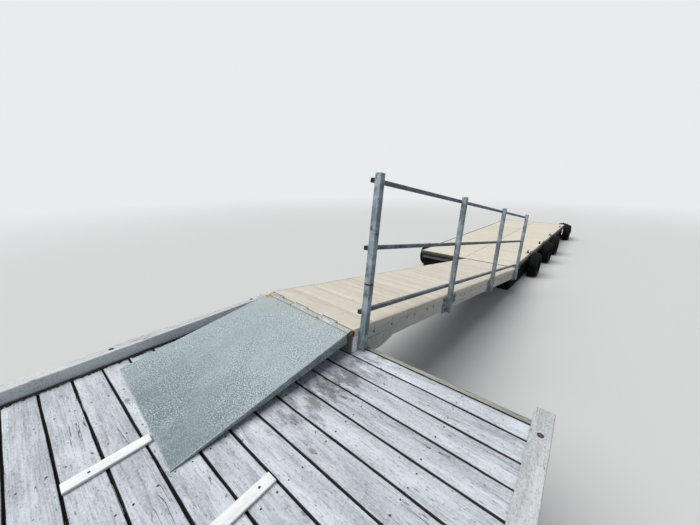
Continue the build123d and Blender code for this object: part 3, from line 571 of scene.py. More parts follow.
def rope_paint(name):
    """Dirty laid rope: its threads slant across each strand."""
    p = Paint(name)
    x, y, _ = p.split(p.read("grain", "Vector"))
    thread = (x * 900.0 + y * 6.0).math("SINE") * 0.5 + 0.5
    dirt = p.noise(p.place(), 30.0, 3.0)
    tint = p.mix(dirt.over(0.4, 0.65), colour(92, 86, 74), colour(52, 49, 44))
    tint = p.shade(tint, thread * 0.35 + 0.75)
    return p.finish(Base_Color=tint, Roughness=0.92, Normal=p.bump(thread, 0.0006, 0.6))


def plain(name, tone, pale, rough=0.8, scale=40.0):
    """One finish of two close shades, for the heads of nails, black fittings, bits of dirt and near-black
    painted shade.
    """
    p = Paint(name)
    cloud = p.noise(p.place(), scale, 3.0, 0.6)
    tint = p.mix(cloud.over(0.38, 0.64), colour(*tone), colour(*pale))
    return p.finish(Base_Color=tint, Roughness=rough, Normal=p.bump(cloud, 0.0008, 0.5))


curb_low, curb_high = solids("curb_left", LANDING)[0]
CURB_FOOT = curb_high[2] - curb_low[2] - 0.012              # curb's top to where its foot is dirty
DIRTY_SPOT = (EDGE[0] + 0.66, EDGE[1] - 0.42, 0.16, 0.50)   # beside the ramp plate

# Timbers: their tone, its paler and darker parts, and the near-black of the dirt in their cracks and of the
# painted shade in their gaps
grey_deck = timber("grey_deck", (182, 187, 195), (222, 228, 236), (93, 97, 104), (20, 21, 22), lines=0.29,
                   fibre=0.34, cracks=0.50, knots=0.26, flecks=0.65, heartwood=(108, 107, 106),
                   streaks=0.30, grime=DIRTY_SPOT, flaking=0.34)
curb_timber = timber("curb_timber", (188, 191, 195), (222, 225, 229), (122, 126, 130), (36, 37, 36),
                     lines=0.22, fibre=0.26, cracks=0.5, knots=0.1, rings=110.0, flecks=0.5, mottled=0.3,
                     streaks=0.20, foot=CURB_FOOT, flaking=0.5)
fascia_timber = timber("fascia_timber", (144, 146, 140), (178, 179, 170), (84, 84, 78), (36, 36, 32),
                       lines=0.3, fibre=0.3, cracks=0.3, knots=0.1, flecks=0.8, streaks=0.4, flaking=0.4)
under_timber = timber("under_timber", (118, 114, 106), (146, 142, 133), (76, 72, 66), (16, 16, 14),
                      fibre=0.4)
batten_timber = timber("batten_timber", (238, 242, 246), (254, 255, 255), (180, 184, 188), (96, 96, 94),
                       lines=0.12, fibre=0.16, cracks=0.2, knots=0.0, flecks=0.25)
pale_deck = timber("pale_deck", (216, 209, 194), (226, 221, 209), (168, 159, 142), (76, 72, 62),
                   lines=0.05, fibre=0.08, cracks=0.12, knots=0.05, flecks=0.55, relief=0.0006,
                   mottled=0.6, streaks=0.10, flaking=0.12)
pale_side = timber("pale_side", (192, 192, 187), (216, 216, 211), (140, 138, 130), (84, 82, 74),
                   lines=0.14, fibre=0.16, cracks=0.1, knots=0.12, flecks=0.3)
pile_timber = timber("pile_timber", (104, 100, 90), (134, 130, 120), (62, 58, 50), (44, 48, 34),
                     fibre=0.45, cracks=0.9, knots=0.5, rings=90.0)

# Metals, plastic, rubber, rope, dirt, and the near-black of painted shade
ramp_grit = coating("ramp_grit")
zinc = galvanised("zinc")
rail_zinc = galvanised("rail_zinc", (92, 99, 105), (120, 129, 137), (48, 53, 58))
zinc_dull = galvanised("zinc_dull", (120, 124, 124), (150, 152, 148), (78, 78, 76), rust=0.35)
pivot_paint = galvanised("pivot_paint", (188, 189, 184), (206, 206, 200), (136, 136, 130), rust=0.10)
pin_rust = rusted("rust", (98, 62, 54), (132, 86, 72))
dark_iron = rusted("dark_iron", (70, 62, 56), (96, 82, 72), (40, 38, 38))
block_plastic = black_plastic("block_plastic")
tyre_rubber = rubber("tyre_rubber")
laid_rope = rope_paint("laid_rope")
nail_steel = plain("nail_steel", (34, 34, 36), (60, 58, 56), 0.7)
black_iron = plain("black_iron", (10, 10, 12), (24, 24, 24), 0.8)
painted_shade_black = plain("painted_shade_black", (14, 15, 15), (34, 35, 34), 0.95, 160.0)
leaf_litter = plain("leaf_litter", (24, 25, 24), (60, 57, 48), 0.95, 90.0)


def board(shape, place, low, high, along, seed, ease=0.004, uneven=0.0012, step=0.03, stain_and_shade=None,
          floor=None, stations=()):
    """A sawn plank: a rectangle with eased corners carried along its length.

    Its faces wander by uneven and its end corners are eased too. Floor(s), where given, is the lowest
    that its underside may reach at s along it, and stations are more places to cut it at.
    """
    low, high = np.array(low), np.array(high)
    size = high - low
    across, deep = [a for a in range(3) if a != along]
    rows = max(3, int(size[along] / step) + 1)
    s = np.linspace(low[along], high[along], rows)
    ends = [low[along] + ease * 0.3, low[along] + ease, high[along] - ease, high[along] - ease * 0.3]
    s = np.sort(np.concatenate([s, ends, stations]))
    near_end = np.minimum(s - low[along], high[along] - s)
    inset = ease * (1 - np.sqrt(np.clip(1 - (1 - np.clip(near_end / ease, 0, 1)) ** 2, 0, 1)))
    outline = rounded(size[across], size[deep], ease)
    w, t = size[across] / 2, size[deep] / 2
    u = outline[None, :, 0] * (1 - inset / w)[:, None]
    v = outline[None, :, 1] * (1 - inset / t)[:, None]
    left, right = wander(s, seed * 4 + 1, 0.9) * uneven, wander(s, seed * 4 + 2, 0.9) * uneven
    u = u + np.where(outline[None, :, 0] > 0, right[:, None], left[:, None])
    v = v + np.where(outline[None, :, 1] > 0, (wander(s, seed * 4 + 3, 1.3) * uneven * 0.5)[:, None], 0)
    v = v - np.where(outline[None, :, 1] > 0, uneven * 0.5, 0)
    local = np.empty(u.shape + (3,))
    local[..., along] = s[:, None]
    local[..., across] = low[across] + w + u
    local[..., deep] = low[deep] + t + v
    grain = np.stack([local[..., along] - low[along], u, t - v], -1)
    if floor is not None:
        lowest = np.broadcast_to(floor(s)[:, None], u.shape)
        bottom = outline[None, :, 1] < 0
        local[..., deep] = np.where(bottom, np.maximum(local[..., deep], lowest), local[..., deep])
    dirt = 0.0 if stain_and_shade is None else stain_and_shade(local, grain)
    shape.grid(put(place, local), grain, seed, dirt)


def lathe(shape, place, profile, columns, phase=0.0):
    """A profile of (radius, height) turned about the place's own Z."""
    profile = np.array(profile, float)
    angle = np.arange(columns) / columns * tau + phase
    ring = np.stack([np.cos(angle), np.sin(angle)], -1)
    points = np.empty((len(profile), columns, 3))
    points[..., :2] = profile[:, :1, None] * ring
    points[..., 2] = profile[:, 1:2]
    shape.grid(put(place, points), points)


def standing(at):
    """An upright place at a point of the frame."""
    return np.eye(3), np.array(at, float)


def facing(place, at, axis):
    """A place at a point of another, whose Z looks along one of its axes (+1, -1, +2, ... from X)."""
    z = np.zeros(3)
    z[abs(axis) - 1] = 1 if axis > 0 else -1
    x = np.roll(np.abs(z), 1)
    y = np.cross(z, x)
    return place[0] @ np.stack([x, y, z], -1), put(place, np.array(at, float))


def washer(shape, place, radius, inner):
    """A thin ring under a bolt, bevelled down from the inner radius."""
    lathe(shape, place, [(radius, -0.001), (radius, 0.0016), (inner, 0.0022)], 18)


def bolt(shape, place, radius, height):
    """A hexagon head with its corners turned off, turned about its axis by its place."""
    head = [(radius * 1.15, 0.001), (radius * 1.15, height * 0.75), (radius * 0.9, height)]
    lathe(shape, place, head, 6, phase=(place[1].sum() * 37) % 1)


def tube(shape, place, width, wall, start, end, open_ends=(True, True), corner=0.006):
    """A square tube along the place's Z: its outline with round corners, turned in at an open end and
    carried back along the bore."""
    outer = rounded(width, width, corner)
    inner = rounded(width - 2 * wall, width - 2 * wall, corner - wall * 0.6)
    bevel, bore = 0.0012, 0.16
    rows = []
    for z, direction, hollow in ((start, 1, open_ends[0]), (end, -1, open_ends[1])):
        half = [(outer * (1 - 2 * bevel / width), z), (outer, z + direction * bevel)]
        if hollow:
            half = [(inner, z + direction * bore), (inner, z)] + half
        rows.append(half)
    middle = [(outer, z) for z in np.linspace(start, end, max(2, int((end - start) / 0.2)))[1:-1]]
    rows = rows[0] + middle + rows[1][::-1]
    points = np.array([np.column_stack([outline, np.full(len(outline), z)]) for outline, z in rows])
    depth = np.array([float(np.allclose(outline, inner)) for outline, z in rows])
    shape.grid(put(place, points), points, stain_and_shade=depth[:, None])


def plate(shape, place, outline, thick, bevel=0.0012):
    """A flat plate of any outline in the place's XY, with bevelled edges: the outline, drawn in along
    its corners' normals by the bevel, at four heights."""
    outline = np.array(outline, float)
    ahead = np.roll(outline, -1, axis=0) - outline
    ahead /= np.linalg.norm(ahead, axis=1)[:, None]
    behind = np.roll(ahead, 1, axis=0)
    inward = np.stack([-(ahead + behind)[:, 1], (ahead + behind)[:, 0]], -1)
    inward /= np.maximum((inward ** 2).sum(axis=1) / 2, 0.3)[:, None]
    rows = []
    for z, drawn in ((0, bevel), (bevel, 0), (thick - bevel, 0), (thick, bevel)):
        flat = outline + inward * drawn
        rows.append(np.column_stack([flat, np.full(len(flat), z)]))
    shape.grid(put(place, np.array(rows)), np.array(rows))


def lengths(points):
    """How far along its path each point is."""
    return np.concatenate([[0], np.cumsum(np.linalg.norm(np.diff(points, axis=0), axis=1))])


def carried(shape, path, outline_at, up=(0, 0, 1)):
    """An outline carried along a path. Its side axis is square to the path and to up."""
    path = np.array(path, float)
    ahead = np.gradient(path, axis=0)
    ahead /= np.linalg.norm(ahead, axis=1)[:, None]
    side = np.cross(ahead, np.array(up, float))
    side /= np.linalg.norm(side, axis=1)[:, None]
    rise = np.cross(side, ahead)
    run = lengths(path)
    outline = np.array([outline_at(k, s) for k, s in enumerate(run)])
    points = path[:, None] + outline[..., :1] * side[:, None] + outline[..., 1:] * rise[:, None]
    turn = np.broadcast_to(np.linspace(0, 1, outline.shape[1])[None, :], outline.shape[:2])
    grain = np.stack([np.broadcast_to(run[:, None], turn.shape), turn * tau, turn * 0], -1)
    shape.grid(points, grain)


def circle(radius, columns):
    """Points of a circle, about its centre."""
    angle = np.arange(columns) / columns * tau
    return np.stack([np.cos(angle), np.sin(angle)], -1) * radius


# Landing
deck_boards = solids("landing_deck_boards", LANDING)
deck_top = max(high[2] for low, high in deck_boards)
curb_boxes = {side: solids(f"curb_{side}", LANDING)[0] for side in ("left", "right")}
inner_left = curb_boxes["left"][1][0]
joist_lines = [(low[0] + high[0]) / 2 for low, high in solids("landing_joists", LANDING)]


def deck_gap_shade_and_grime(local, grain):
    """Painted shade where a board's side drops into the gap, and grime in a ragged strip beside the
    left curb.
    """
    depth = grain[..., 2] - grain[..., 2].min(axis=1, keepdims=True)
    down = smooth(depth, 0.0001, 0.0020)
    reach = 0.012 + 0.016 * speckle(local[..., 1] + 5, local[..., 0] * 0 + 1, 0.021, 4)
    beside = smooth(inner_left + reach - local[..., 0], -0.006, 0.006)
    return np.clip(down * 0.95 + beside * 0.75, 0, 1)


shape = Shape()
for i, (low, high) in enumerate(deck_boards):
    board(shape, LANDING, low, high, 0, 11 + i, ease=0.0045, stain_and_shade=deck_gap_shade_and_grime, uneven=0.0016, step=0.02)
shape.build("deck_boards", grey_deck, "landing", ["landing_deck_boards"])

# Painted shade: near-black strips like packed dirt, low in the gaps between the boards and in the one
# before the fascia, keep the gaps dark
shape = Shape()
for i, ((low, high), (next_low, _)) in enumerate(zip(deck_boards[:-1], deck_boards[1:])):
    board(shape, LANDING, (low[0] + 0.004, high[1] + 0.0004, deck_top - 0.034),
          (high[0] - 0.004, next_low[1] - 0.0004, deck_top - 0.016), 0, 301 + i, ease=0.002, uneven=0.0030)
fascia_low, _ = solids("landing_fascia", LANDING)[0]
last_low, last_high = deck_boards[-1]
board(shape, LANDING, (last_low[0] + 0.01, last_high[1] - 0.0030, deck_top - 0.012),
      (last_high[0] - 0.01, fascia_low[1] + 0.0035, deck_top - 0.0008), 0, 340, ease=0.001, uneven=0.0010)
shape.build("gap_shade_fill", painted_shade_black, "landing")


def nail(shape, place, radius):
    """A nail head: a low dome, just proud of the timber."""
    lathe(shape, place, [(radius, -0.002), (radius, 0.0003), (radius * 0.6, 0.0009)], 9)


shape = Shape()
random = np.random.default_rng(7)
for low, high in deck_boards:
    for x in joist_lines:
        for share in (0.22, 0.78):
            jitter = random.uniform(-0.009, 0.009, 2)
            at = (x + jitter[0], low[1] + (high[1] - low[1]) * share + jitter[1], deck_top - 0.0006)
            nail(shape, facing(LANDING, at, 3), random.uniform(0.0038, 0.0052))
shape.build("deck_nails", nail_steel, "landing")


def side_soil(local, grain):
    """A little grime towards the lower edge of a board on edge."""
    return smooth(grain[..., 2], 0.12, 0.3) * 0.35


def hidden_dirt_and_shade(local, grain):
    """Nearly black along the top, from dirt that falls through the gaps and from painted shade that keeps
    the gaps dark, and dull below.
    """
    return 0.15 + 0.83 * smooth(grain[..., 2], 0.030, 0.012)


def pile_soil(local, grain):
    """Dark up to an uneven line, where water would stand."""
    mark = 0.34 + 0.05 * np.sin(local[..., 0] * 23 + local[..., 1] * 31)
    return smooth(mark - local[..., 2], -0.04, 0.05) * 0.8


def timber_node(node, place, along, paint, body, slot, name, first_seed, stain_and_shade, **options):
    """Replaces every solid of a node by a sawn plank of the same size."""
    shape = Shape()
    for i, (low, high) in enumerate(solids(node, place)):
        board(shape, place, low, high, along, first_seed + i, stain_and_shade=stain_and_shade, **options)
    shape.build(name, paint, body, [node])


def dress(node, paint):
    """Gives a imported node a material."""
    materials = frame["nodes"][node].data.materials
    materials.clear()
    materials.append(paint)


for node, along, paint, name, seed, stain_and_shade in (
        ("fascia", 0, fascia_timber, "fascia_board", 31, side_soil),
        ("back_rim", 0, grey_deck, "back_rim_board", 33, side_soil),
        ("left_rim", 1, grey_deck, "left_rim_board", 35, side_soil),
        ("right_rim", 1, grey_deck, "right_rim_board", 37, side_soil),
        ("joists", 1, under_timber, "deck_joists", 41, hidden_dirt_and_shade),
        ("beams", 0, under_timber, "beams", 51, hidden_dirt_and_shade)):
    timber_node(f"landing_{node}", LANDING, along, paint, "landing", "grey_timber", name, seed, stain_and_shade)
timber_node("landing_piles", LANDING, 2, pile_timber, "landing", "grey_timber", "piles", 55, pile_soil,
            ease=0.010, uneven=0.002)
for side in ("left", "right"):
    dress(f"landing_{side}_brace", under_timber)


def curb(side, seed):
    """The curb timber: a plank whose water end is rounded off, first across and then at the top."""
    low, high = curb_boxes[side]
    nose = 0.020
    shape = Shape()
    stations = high[1] - nose * (1 - np.sin(np.linspace(0.1, 1.3, 7)))
    board(shape, LANDING, low, high, 1, seed, ease=0.006, uneven=0.0018, step=0.02, stations=stations)
    points = seen_in(LANDING, shape.points[0])
    middle, half_width = (low[0] + high[0]) / 2, (high[0] - low[0]) / 2
    sideways = np.abs(points[:, 0] - middle) - half_width + nose
    upwards = points[:, 2] - high[2] + nose
    for axis, past in ((0, sideways), (2, upwards)):
        ahead = points[:, 1] - high[1] + nose
        away = np.hypot(np.maximum(ahead, 0), np.maximum(past, 0))
        pull = np.where((ahead > 0) & (past > 0) & (away > nose), 1 - nose / np.maximum(away, 1e-9), 0)
        points[:, 1] -= ahead * pull
        points[:, axis] -= past * pull * (np.sign(points[:, 0] - middle) if axis == 0 else 1)
    shape.points[0] = put(LANDING, points)
    shape.build(f"{side}_curb", curb_timber, "landing", [f"curb_{side}"])


curb("left", 71)
curb("right", 73)

CURB_BOLTS = {"left": (-0.19, -1.285, -2.13), "right": (-0.19, -1.20, -2.15)}  # Y on the landing
BOLT = 0.0085                     # half a bolt head's width across its flats
shape = Shape()
for side, places in CURB_BOLTS.items():
    low, high = curb_boxes[side]
    for y in places:
        at = facing(LANDING, ((low[0] + high[0]) / 2, y, high[2] - 0.001), 3)
        washer(shape, at, BOLT * 1.75, BOLT * 1.6)
        bolt(shape, at, BOLT, 0.006)
shape.build("curb_bolts", dark_iron, "landing")

LITTER_FLAKES = 420
shape = Shape()
random = np.random.default_rng(23)
litter_from, litter_to = curb_low[1] + 0.03, curb_high[1] - 0.25
for _ in range(LITTER_FLAKES):
    y = random.uniform(litter_from, litter_to)
    x = inner_left + 0.002 + 0.024 * random.random() ** 1.6
    size = random.uniform(0.003, 0.011)
    flake = [(size, 0), (size * 0.9, size * 0.3), (size * 0.5, size * 0.45)]
    lathe(shape, facing(LANDING, (x, y, deck_top - 0.0006), 3), flake, 6, phase=random.uniform(0, 1))
shape.build("curb_litter", leaf_litter, "landing")

batten_boxes = solids("deck_battens", LANDING)
batten_top = batten_boxes[0][1][2]


def batten_side_shade(local, grain):
    """Painted shade on the sides, below the eased upper edge."""
    return smooth(batten_top - local[..., 2], 0.002, 0.006) * 0.5


timber_node("deck_battens", LANDING, 1, batten_timber, "landing", "pale_timber", "battens", 81, batten_side_shade,
            uneven=0.0008, ease=0.003)
shape = Shape()
for (low, high), share in zip(batten_boxes, (0.28, 0.80)):
    at = ((low[0] + high[0]) / 2, low[1] + (high[1] - low[1]) * share, high[2] - 0.0005)
    nail(shape, facing(LANDING, at, 3), 0.0062)
shape.build("batten_nails", nail_steel, "landing")

# Ramp plate
ramp_low, ramp_high = solids("ramp_plate", RAMP)[0]
sheet_top = ramp_high[2] - 0.0005
KNUCKLES_FROM = -0.034            # the sheet's grit stops here, short of the knuckles
GRIT_STEP = 0.005

x = np.arange(ramp_low[0] + 0.004, ramp_high[0] - 0.003, GRIT_STEP)
y = np.arange(ramp_low[1] + 0.006, KNUCKLES_FROM, GRIT_STEP)
x, y = np.meshgrid(x, y)
pebble = smooth(speckle(x, y + 9, 0.0115, 1) * 0.6 + speckle(x + 9, y, 0.0075, 2) * 0.4, 0.34, 0.74)
rim_fade = smooth(np.minimum(x - x.min(), x.max() - x), 0, 0.012)
rim_fade = rim_fade * smooth(np.minimum(y - y.min(), y.max() - y), 0, 0.015)
worn = 1 - 0.6 * smooth(speckle(x, y, 0.21, 5), 0.55, 0.85)
height = 0.0004 + 0.0016 * pebble * rim_fade * worn
corner = np.hypot((x - x.min()) * 0.9, (y.max() - y) * 1.4)
rusty = smooth(corner + 0.05 * (speckle(x, y, 0.012, 6) - 0.5), 0.085, 0.03)
rusty_edge = smooth(y.max() - y + 0.03 * speckle(x, y, 0.03, 7), 0.022, 0.010)
rusty = np.maximum(rusty, rusty_edge * 0.5 * speckle(x, y, 0.06, 8))
top = np.stack([x, y, sheet_top + height], -1)
under = np.stack([x[:, [-1, 0]], y[:, [-1, 0]], np.full((len(x), 2), sheet_top - 0.001)], -1)
grit = np.concatenate([top, under], 1)
widen = ((0, 0), (0, under.shape[1]))   # the under side has no pebbles and no rust
shape = Shape()
shape.grid(put(RAMP, grit), grit, np.pad(pebble * worn, widen), np.pad(rusty, widen))
shape.build("ramp_grit", ramp_grit, "ramp")

left_hinge_corner = put(RAMP, np.array([ramp_low[0], -0.03, 0.02]))
ramp_plate_paint = plate_coating("ramp_plate_paint", left_hinge_corner)
dress("ramp_plate", ramp_plate_paint)
dress("ramp_ribs", ramp_plate_paint)
dress("hinge_leaves", plated("leaf_paint", (190, 195, 194), (210, 215, 213), left_hinge_corner))

# Gangway
pin_low, pin_high = solids("ramp_hinge_pin", GANGWAY)[0]
DOME = [(0.0150, -0.001), (0.0240, 0.000), (0.0250, 0.0015), (0.0250, 0.0045), (0.0235, 0.0090),
        (0.0200, 0.0125), (0.0140, 0.0150), (0.0060, 0.0160)]   # the pin's head
PIN_R = 0.015                     # radius of the ramp's hinge pin
shape = Shape()
lathe(shape, facing(GANGWAY, (pin_high[0] - 0.016, 0, 0), 1), DOME, 28)
lathe(shape, facing(GANGWAY, (0, 0, 0), 1),
      [(PIN_R - 0.0002, pin_low[0]), (PIN_R, pin_low[0] + 0.002), (PIN_R, pin_high[0] - 0.015)], 24)
shape.build("ramp_pin", pin_rust, "gangway", ["ramp_hinge_pin"])

planks = solids("gangway_planks", GANGWAY)
plank_top = max(high[2] for low, high in planks)

# Painted shade: a near-black strip along the far edges of the hinge's leaves
shape = Shape()
for i, (low, high) in enumerate(solids("hinge_leaves", GANGWAY)):
    board(shape, GANGWAY, (low[0] - 0.001, high[1] - 0.002, plank_top - 0.004),
          (high[0] + 0.001, high[1] + 0.0055, plank_top + 0.0012), 0, 350 + i, ease=0.0008, step=0.02)
shape.build("leaf_edge_shade", painted_shade_black, "gangway")

stringer_boxes = solids("gangway_stringers", GANGWAY)
stringer_bottom = min(low[2] for low, high in stringer_boxes)
gangway_right = max(high[0] for low, high in stringer_boxes)
NOTCH_END = 0.0355                # past the landing's water edge, where the stringers' notches end
FAR_BELOW = -9.0                  # a floor so low that nothing reaches it


def over_landing(t):
    """Height of the landing's deck at t along the gangway, and far below it past the notch."""
    u = (deck_top + 0.0003 - HINGE[2] + t * sin(SLOPE)) / cos(SLOPE)
    y = t * cos(SLOPE) + stringer_bottom * sin(SLOPE)
    return np.where(y < HINGE_BACK + NOTCH_END, u, FAR_BELOW)


def plank_gap_shade_and_end_grime(local, grain):
    """Painted shade between two planks, as far as the stringers, and grime at the planks' ends."""
    down = smooth(plank_top - local[..., 2], 0.002, 0.008)
    cut = np.abs(local[..., 0]) < gangway_right - 0.004
    end = smooth(np.abs(local[..., 0]), gangway_right + 0.010, gangway_right + 0.019) * 0.46
    return np.maximum(down * cut * 0.8, end)


def header_painted_shade(local, grain):
    """Painted shade all over the near header, which lies in shade under the ramp, with more towards its
    lower edge.
    """
    return 0.45 + 0.2 * smooth(grain[..., 2], -0.05, 0.12)


def header_floor(s):
    """The lowest that the near header may reach: the landing's height 38 mm past its near side."""
    return over_landing(s * 0 + near_t + 0.038)


timber_node("gangway_planks", GANGWAY, 0, pale_deck, "gangway", "pale_timber", "gangway_deck", 101,
            plank_gap_shade_and_end_grime, ease=0.005, uneven=0.0007)
notch_t = (HINGE_BACK + NOTCH_END - stringer_bottom * sin(SLOPE)) / cos(SLOPE)
timber_node("gangway_stringers", GANGWAY, 1, pale_side, "gangway", "pale_timber", "stringers", 131,
            side_soil, floor=over_landing, stations=(notch_t - 0.0005, notch_t + 0.0005))
header_low, header_high = solids("gangway_near_header", GANGWAY)[0]
near_t = header_low[1]
timber_node("gangway_near_header", GANGWAY, 0, pale_side, "gangway", "pale_timber", "near_header", 135,
            header_painted_shade, floor=header_floor)
bare_far = near_t + 0.058         # far edge of the pale new wood at the header's right end
bare_end = min(bare_far, solids("handrail_post_1", GANGWAY)[0][0][1] - 0.002)
shape = Shape()
board(shape, GANGWAY, (gangway_right - 0.003, near_t + 0.001, over_landing(np.array(bare_far)) + 0.001),
      (gangway_right + 0.0008, bare_end, header_high[2] - 0.002), 1, 139, ease=0.0007, uneven=0.0003)
shape.build("bare_header_end", batten_timber, "gangway")
timber_node("gangway_far_header", GANGWAY, 0, pale_side, "gangway", "pale_timber", "far_header", 136,
            side_soil)
timber_node("gangway_blocking", GANGWAY, 0, under_timber, "gangway", "pale_timber", "blocking", 137,
            hidden_dirt_and_shade)

shape = Shape()
for (low, high), (next_low, _) in zip(planks[:-1], planks[1:]):
    t = (high[1] + next_low[1]) / 2
    lathe(shape, facing(GANGWAY, (gangway_right - 0.001, t, low[2] - 0.022), 1),
          [(0.0100, 0), (0.0100, 0.0020), (0.0080, 0.0030)], 12)
shape.build("edge_screws", black_iron, "gangway")

# Handrail: its posts lean in over the gangway, and its rails fall a little against the deck
TUBE_WALL = 0.003
POST = 0.051                      # side of a post's square tube
POST_LEAN = radians(0.8)
RAIL_FALL = radians(0.45)
BRACKET_T = 0.006                 # thickness of a post's bracket
BRACKET_NEAR = 0.110              # post's centre to its bracket's near edge
BRACKET_TAIL = 0.045              # post's centre to the far edge of its bracket's tail
post_foot = plank_top - 0.212
bracket_top = plank_top - 0.025
shelf = bracket_top - 0.100
post_line = np.array([gangway_right + BRACKET_T + POST / 2, 0, post_foot])
POSTS = (GANGWAY[0] @ about(1, -POST_LEAN), put(GANGWAY, post_line))
RAILS = (POSTS[0] @ about(0, -RAIL_FALL), POSTS[1])


def weld(shape, place, x, t, heights, radius, seed):
    """An uneven upright bead of weld, at one x and t of a place and a row of heights."""
    count = len(heights)
    points = np.column_stack([np.full(count, x), np.full(count, t), heights])
    swell = radius * (1 + 0.22 * np.sin(np.arange(count) * 2.6 + seed))
    carried(shape, put(place, points), lambda k, s: circle(swell[k], 8), up=(1, 0.3, 0))


post_at = []
bolts = Shape()
for i in range(4):
    node = f"handrail_post_{i + 1}"
    low, high = solids(node, GANGWAY)[0]
    t = low[1] + (POST / 2 if i == 0 else BRACKET_NEAR)
    post_at.append(t)
    near, far, foot = low[1] - t, high[1] - t, low[2]
    tube_foot = (foot - post_foot) + 0.014
    tube_top = solids(node, POSTS)[0][1][2]
    shape = Shape()
    tube(shape, facing(POSTS, (0, t, 0), 3), POST, TUBE_WALL, tube_foot, tube_top, (True, False))
    outline = [(near, foot), (BRACKET_TAIL, foot), (BRACKET_TAIL, shelf - 0.04), (far, shelf),
               (far, bracket_top), (near, bracket_top)]
    plate(shape, facing(GANGWAY, (gangway_right, t, 0), 1), outline, BRACKET_T)
    for edge in (-1, 1):
        heights = np.linspace(foot + 0.018, bracket_top - 0.005, 24)
        weld(shape, GANGWAY, gangway_right + BRACKET_T, t + edge * POST / 2, heights, 0.003, i)
    for along in (near + 0.026, far - 0.026):
        if i == 0 and along < 0:
            continue
        for drop in (0.028, 0.084):
            at = facing(GANGWAY, (gangway_right + BRACKET_T, t + along, bracket_top - drop), 1)
            washer(shape, at, 0.0155, 0.0140)
            bolt(bolts, at, BOLT, BOLT * 1.1)
    shape.build(f"post_{i + 1}", zinc, "gangway", [node])
bolts.build("post_bolts", black_iron, "gangway")

MARK_HEIGHT = 0.330               # black tape on the first post, above the planks
shape = Shape()
mark_at = (0, post_at[0], plank_top - post_foot + MARK_HEIGHT)
plate(shape, facing(POSTS, mark_at, 3), rounded(POST + 0.0010, POST + 0.0010, 0.0065), 0.011, 0.0004)
shape.build("tape_mark", black_iron, "gangway")

for name in ("low", "middle", "top"):
    low, high = solids(f"handrail_{name}_rail", RAILS)[0]
    centre = (low + high) / 2
    shape = Shape()
    at = facing(RAILS, (centre[0], 0, centre[2]), 2)
    tube(shape, at, high[0] - low[0], TUBE_WALL, low[1], high[1], corner=0.005)
    for i, t in enumerate(post_at):
        for edge in (-1, 1):
            heights = centre[2] - t * tan(RAIL_FALL) + np.linspace(-0.014, 0.014, 9)
            weld(shape, POSTS, -POST / 2, t + edge * POST / 2 * 0.9, heights, 0.0026, i)
    shape.build(f"{name}_rail", rail_zinc, "gangway", [f"handrail_{name}_rail"])
    stopper = Shape()
    plate(stopper, facing(RAILS, (centre[0], low[1] + 0.004, centre[2]), -2),
          rounded(high[0] - low[0] - 0.0006, high[2] - low[2] - 0.0006, 0.0048), 0.0046)
    stopper.build(f"{name}_rail_plug", black_iron, "gangway")

dress("gangway_pivots", pivot_paint)
for node in ("pivot_lugs", "float_link_ears", "float_link_tongues"):
    dress(node, zinc_dull)

# Float
float_top = solids("float_right_planks", WORLD)[0][1][2]


def float_gap_shade(local, grain):
    """Painted shade between two planks."""
    return smooth(float_top - local[..., 2], 0.005, 0.014) * 0.7


def rim_painted_shade(local, grain):
    """Painted shade, nearly black towards the rim's lower edge, under the planks' overhang."""
    return smooth(grain[..., 2], -0.03, 0.04) * 0.95


for side, seed in (("right", 201), ("left", 241)):
    timber_node(f"float_{side}_planks", WORLD, 0, pale_deck, "float", "pale_timber", f"float_{side}_deck",
                seed, float_gap_shade, uneven=0.0007, step=0.05)
# The rims: painted nearly black towards their lower edge, as shade under the planks' overhang
for side, along, seed in (("front", 0, 281), ("back", 0, 283), ("left", 1, 285), ("right", 1, 287)):
    timber_node(f"float_{side}_rim", WORLD, along, under_timber, "float", "pale_timber",
                f"float_{side}_board", seed, rim_painted_shade)
timber_node("float_joists", WORLD, 0, under_timber, "float", "pale_timber", "float_bearers", 289,
            hidden_dirt_and_shade, step=0.2)


def perimeter(width, length, radius, pitch):
    """A rectangle with round corners, cut into short steps of about pitch all the way round."""
    outline = rounded(width, length, radius, 6)
    closed = np.concatenate([outline, outline[:1]])
    run = lengths(closed)
    s = np.linspace(0, run[-1], int(run[-1] / pitch), endpoint=False)
    return np.stack([np.interp(s, run, closed[:, 0]), np.interp(s, run, closed[:, 1])], -1), s


FLUTE = 0.16                      # pitch of the shallow upright flutes moulded into a block's sides
shape = Shape()
for low, high in solids("float_billets", WORLD):
    width, length, tall = high - low
    centre = (low + high) / 2
    line, s = perimeter(width, length, 0.05, 0.016)
    depth = smooth(np.sin(s / FLUTE * tau), 0.2, 0.8) * 0.010
    levels = ((0, 0.018, 0), (0.018, 0, 0), (0.05, 0, 0), (0.062, 0, 1), (tall * 0.46, 0, 1),
              (tall * 0.49, 0, 0), (tall * 0.55, 0, 0), (tall * 0.58, 0, 1), (tall - 0.05, 0, 1),
              (tall - 0.036, 0, 0), (tall - 0.012, 0, 0), (tall, 0.010, 0))
    rows = []
    for z, drawn, fluted in levels:
        inset = drawn + fluted * depth
        flat = line * (1 - 2 * inset[:, None] / (width, length))
        rows.append(np.column_stack([flat + centre[:2], np.full(len(flat), low[2] + z)]))
    shape.grid(np.array(rows))
shape.build("float_blocks", block_plastic, "float", ["float_billets"])


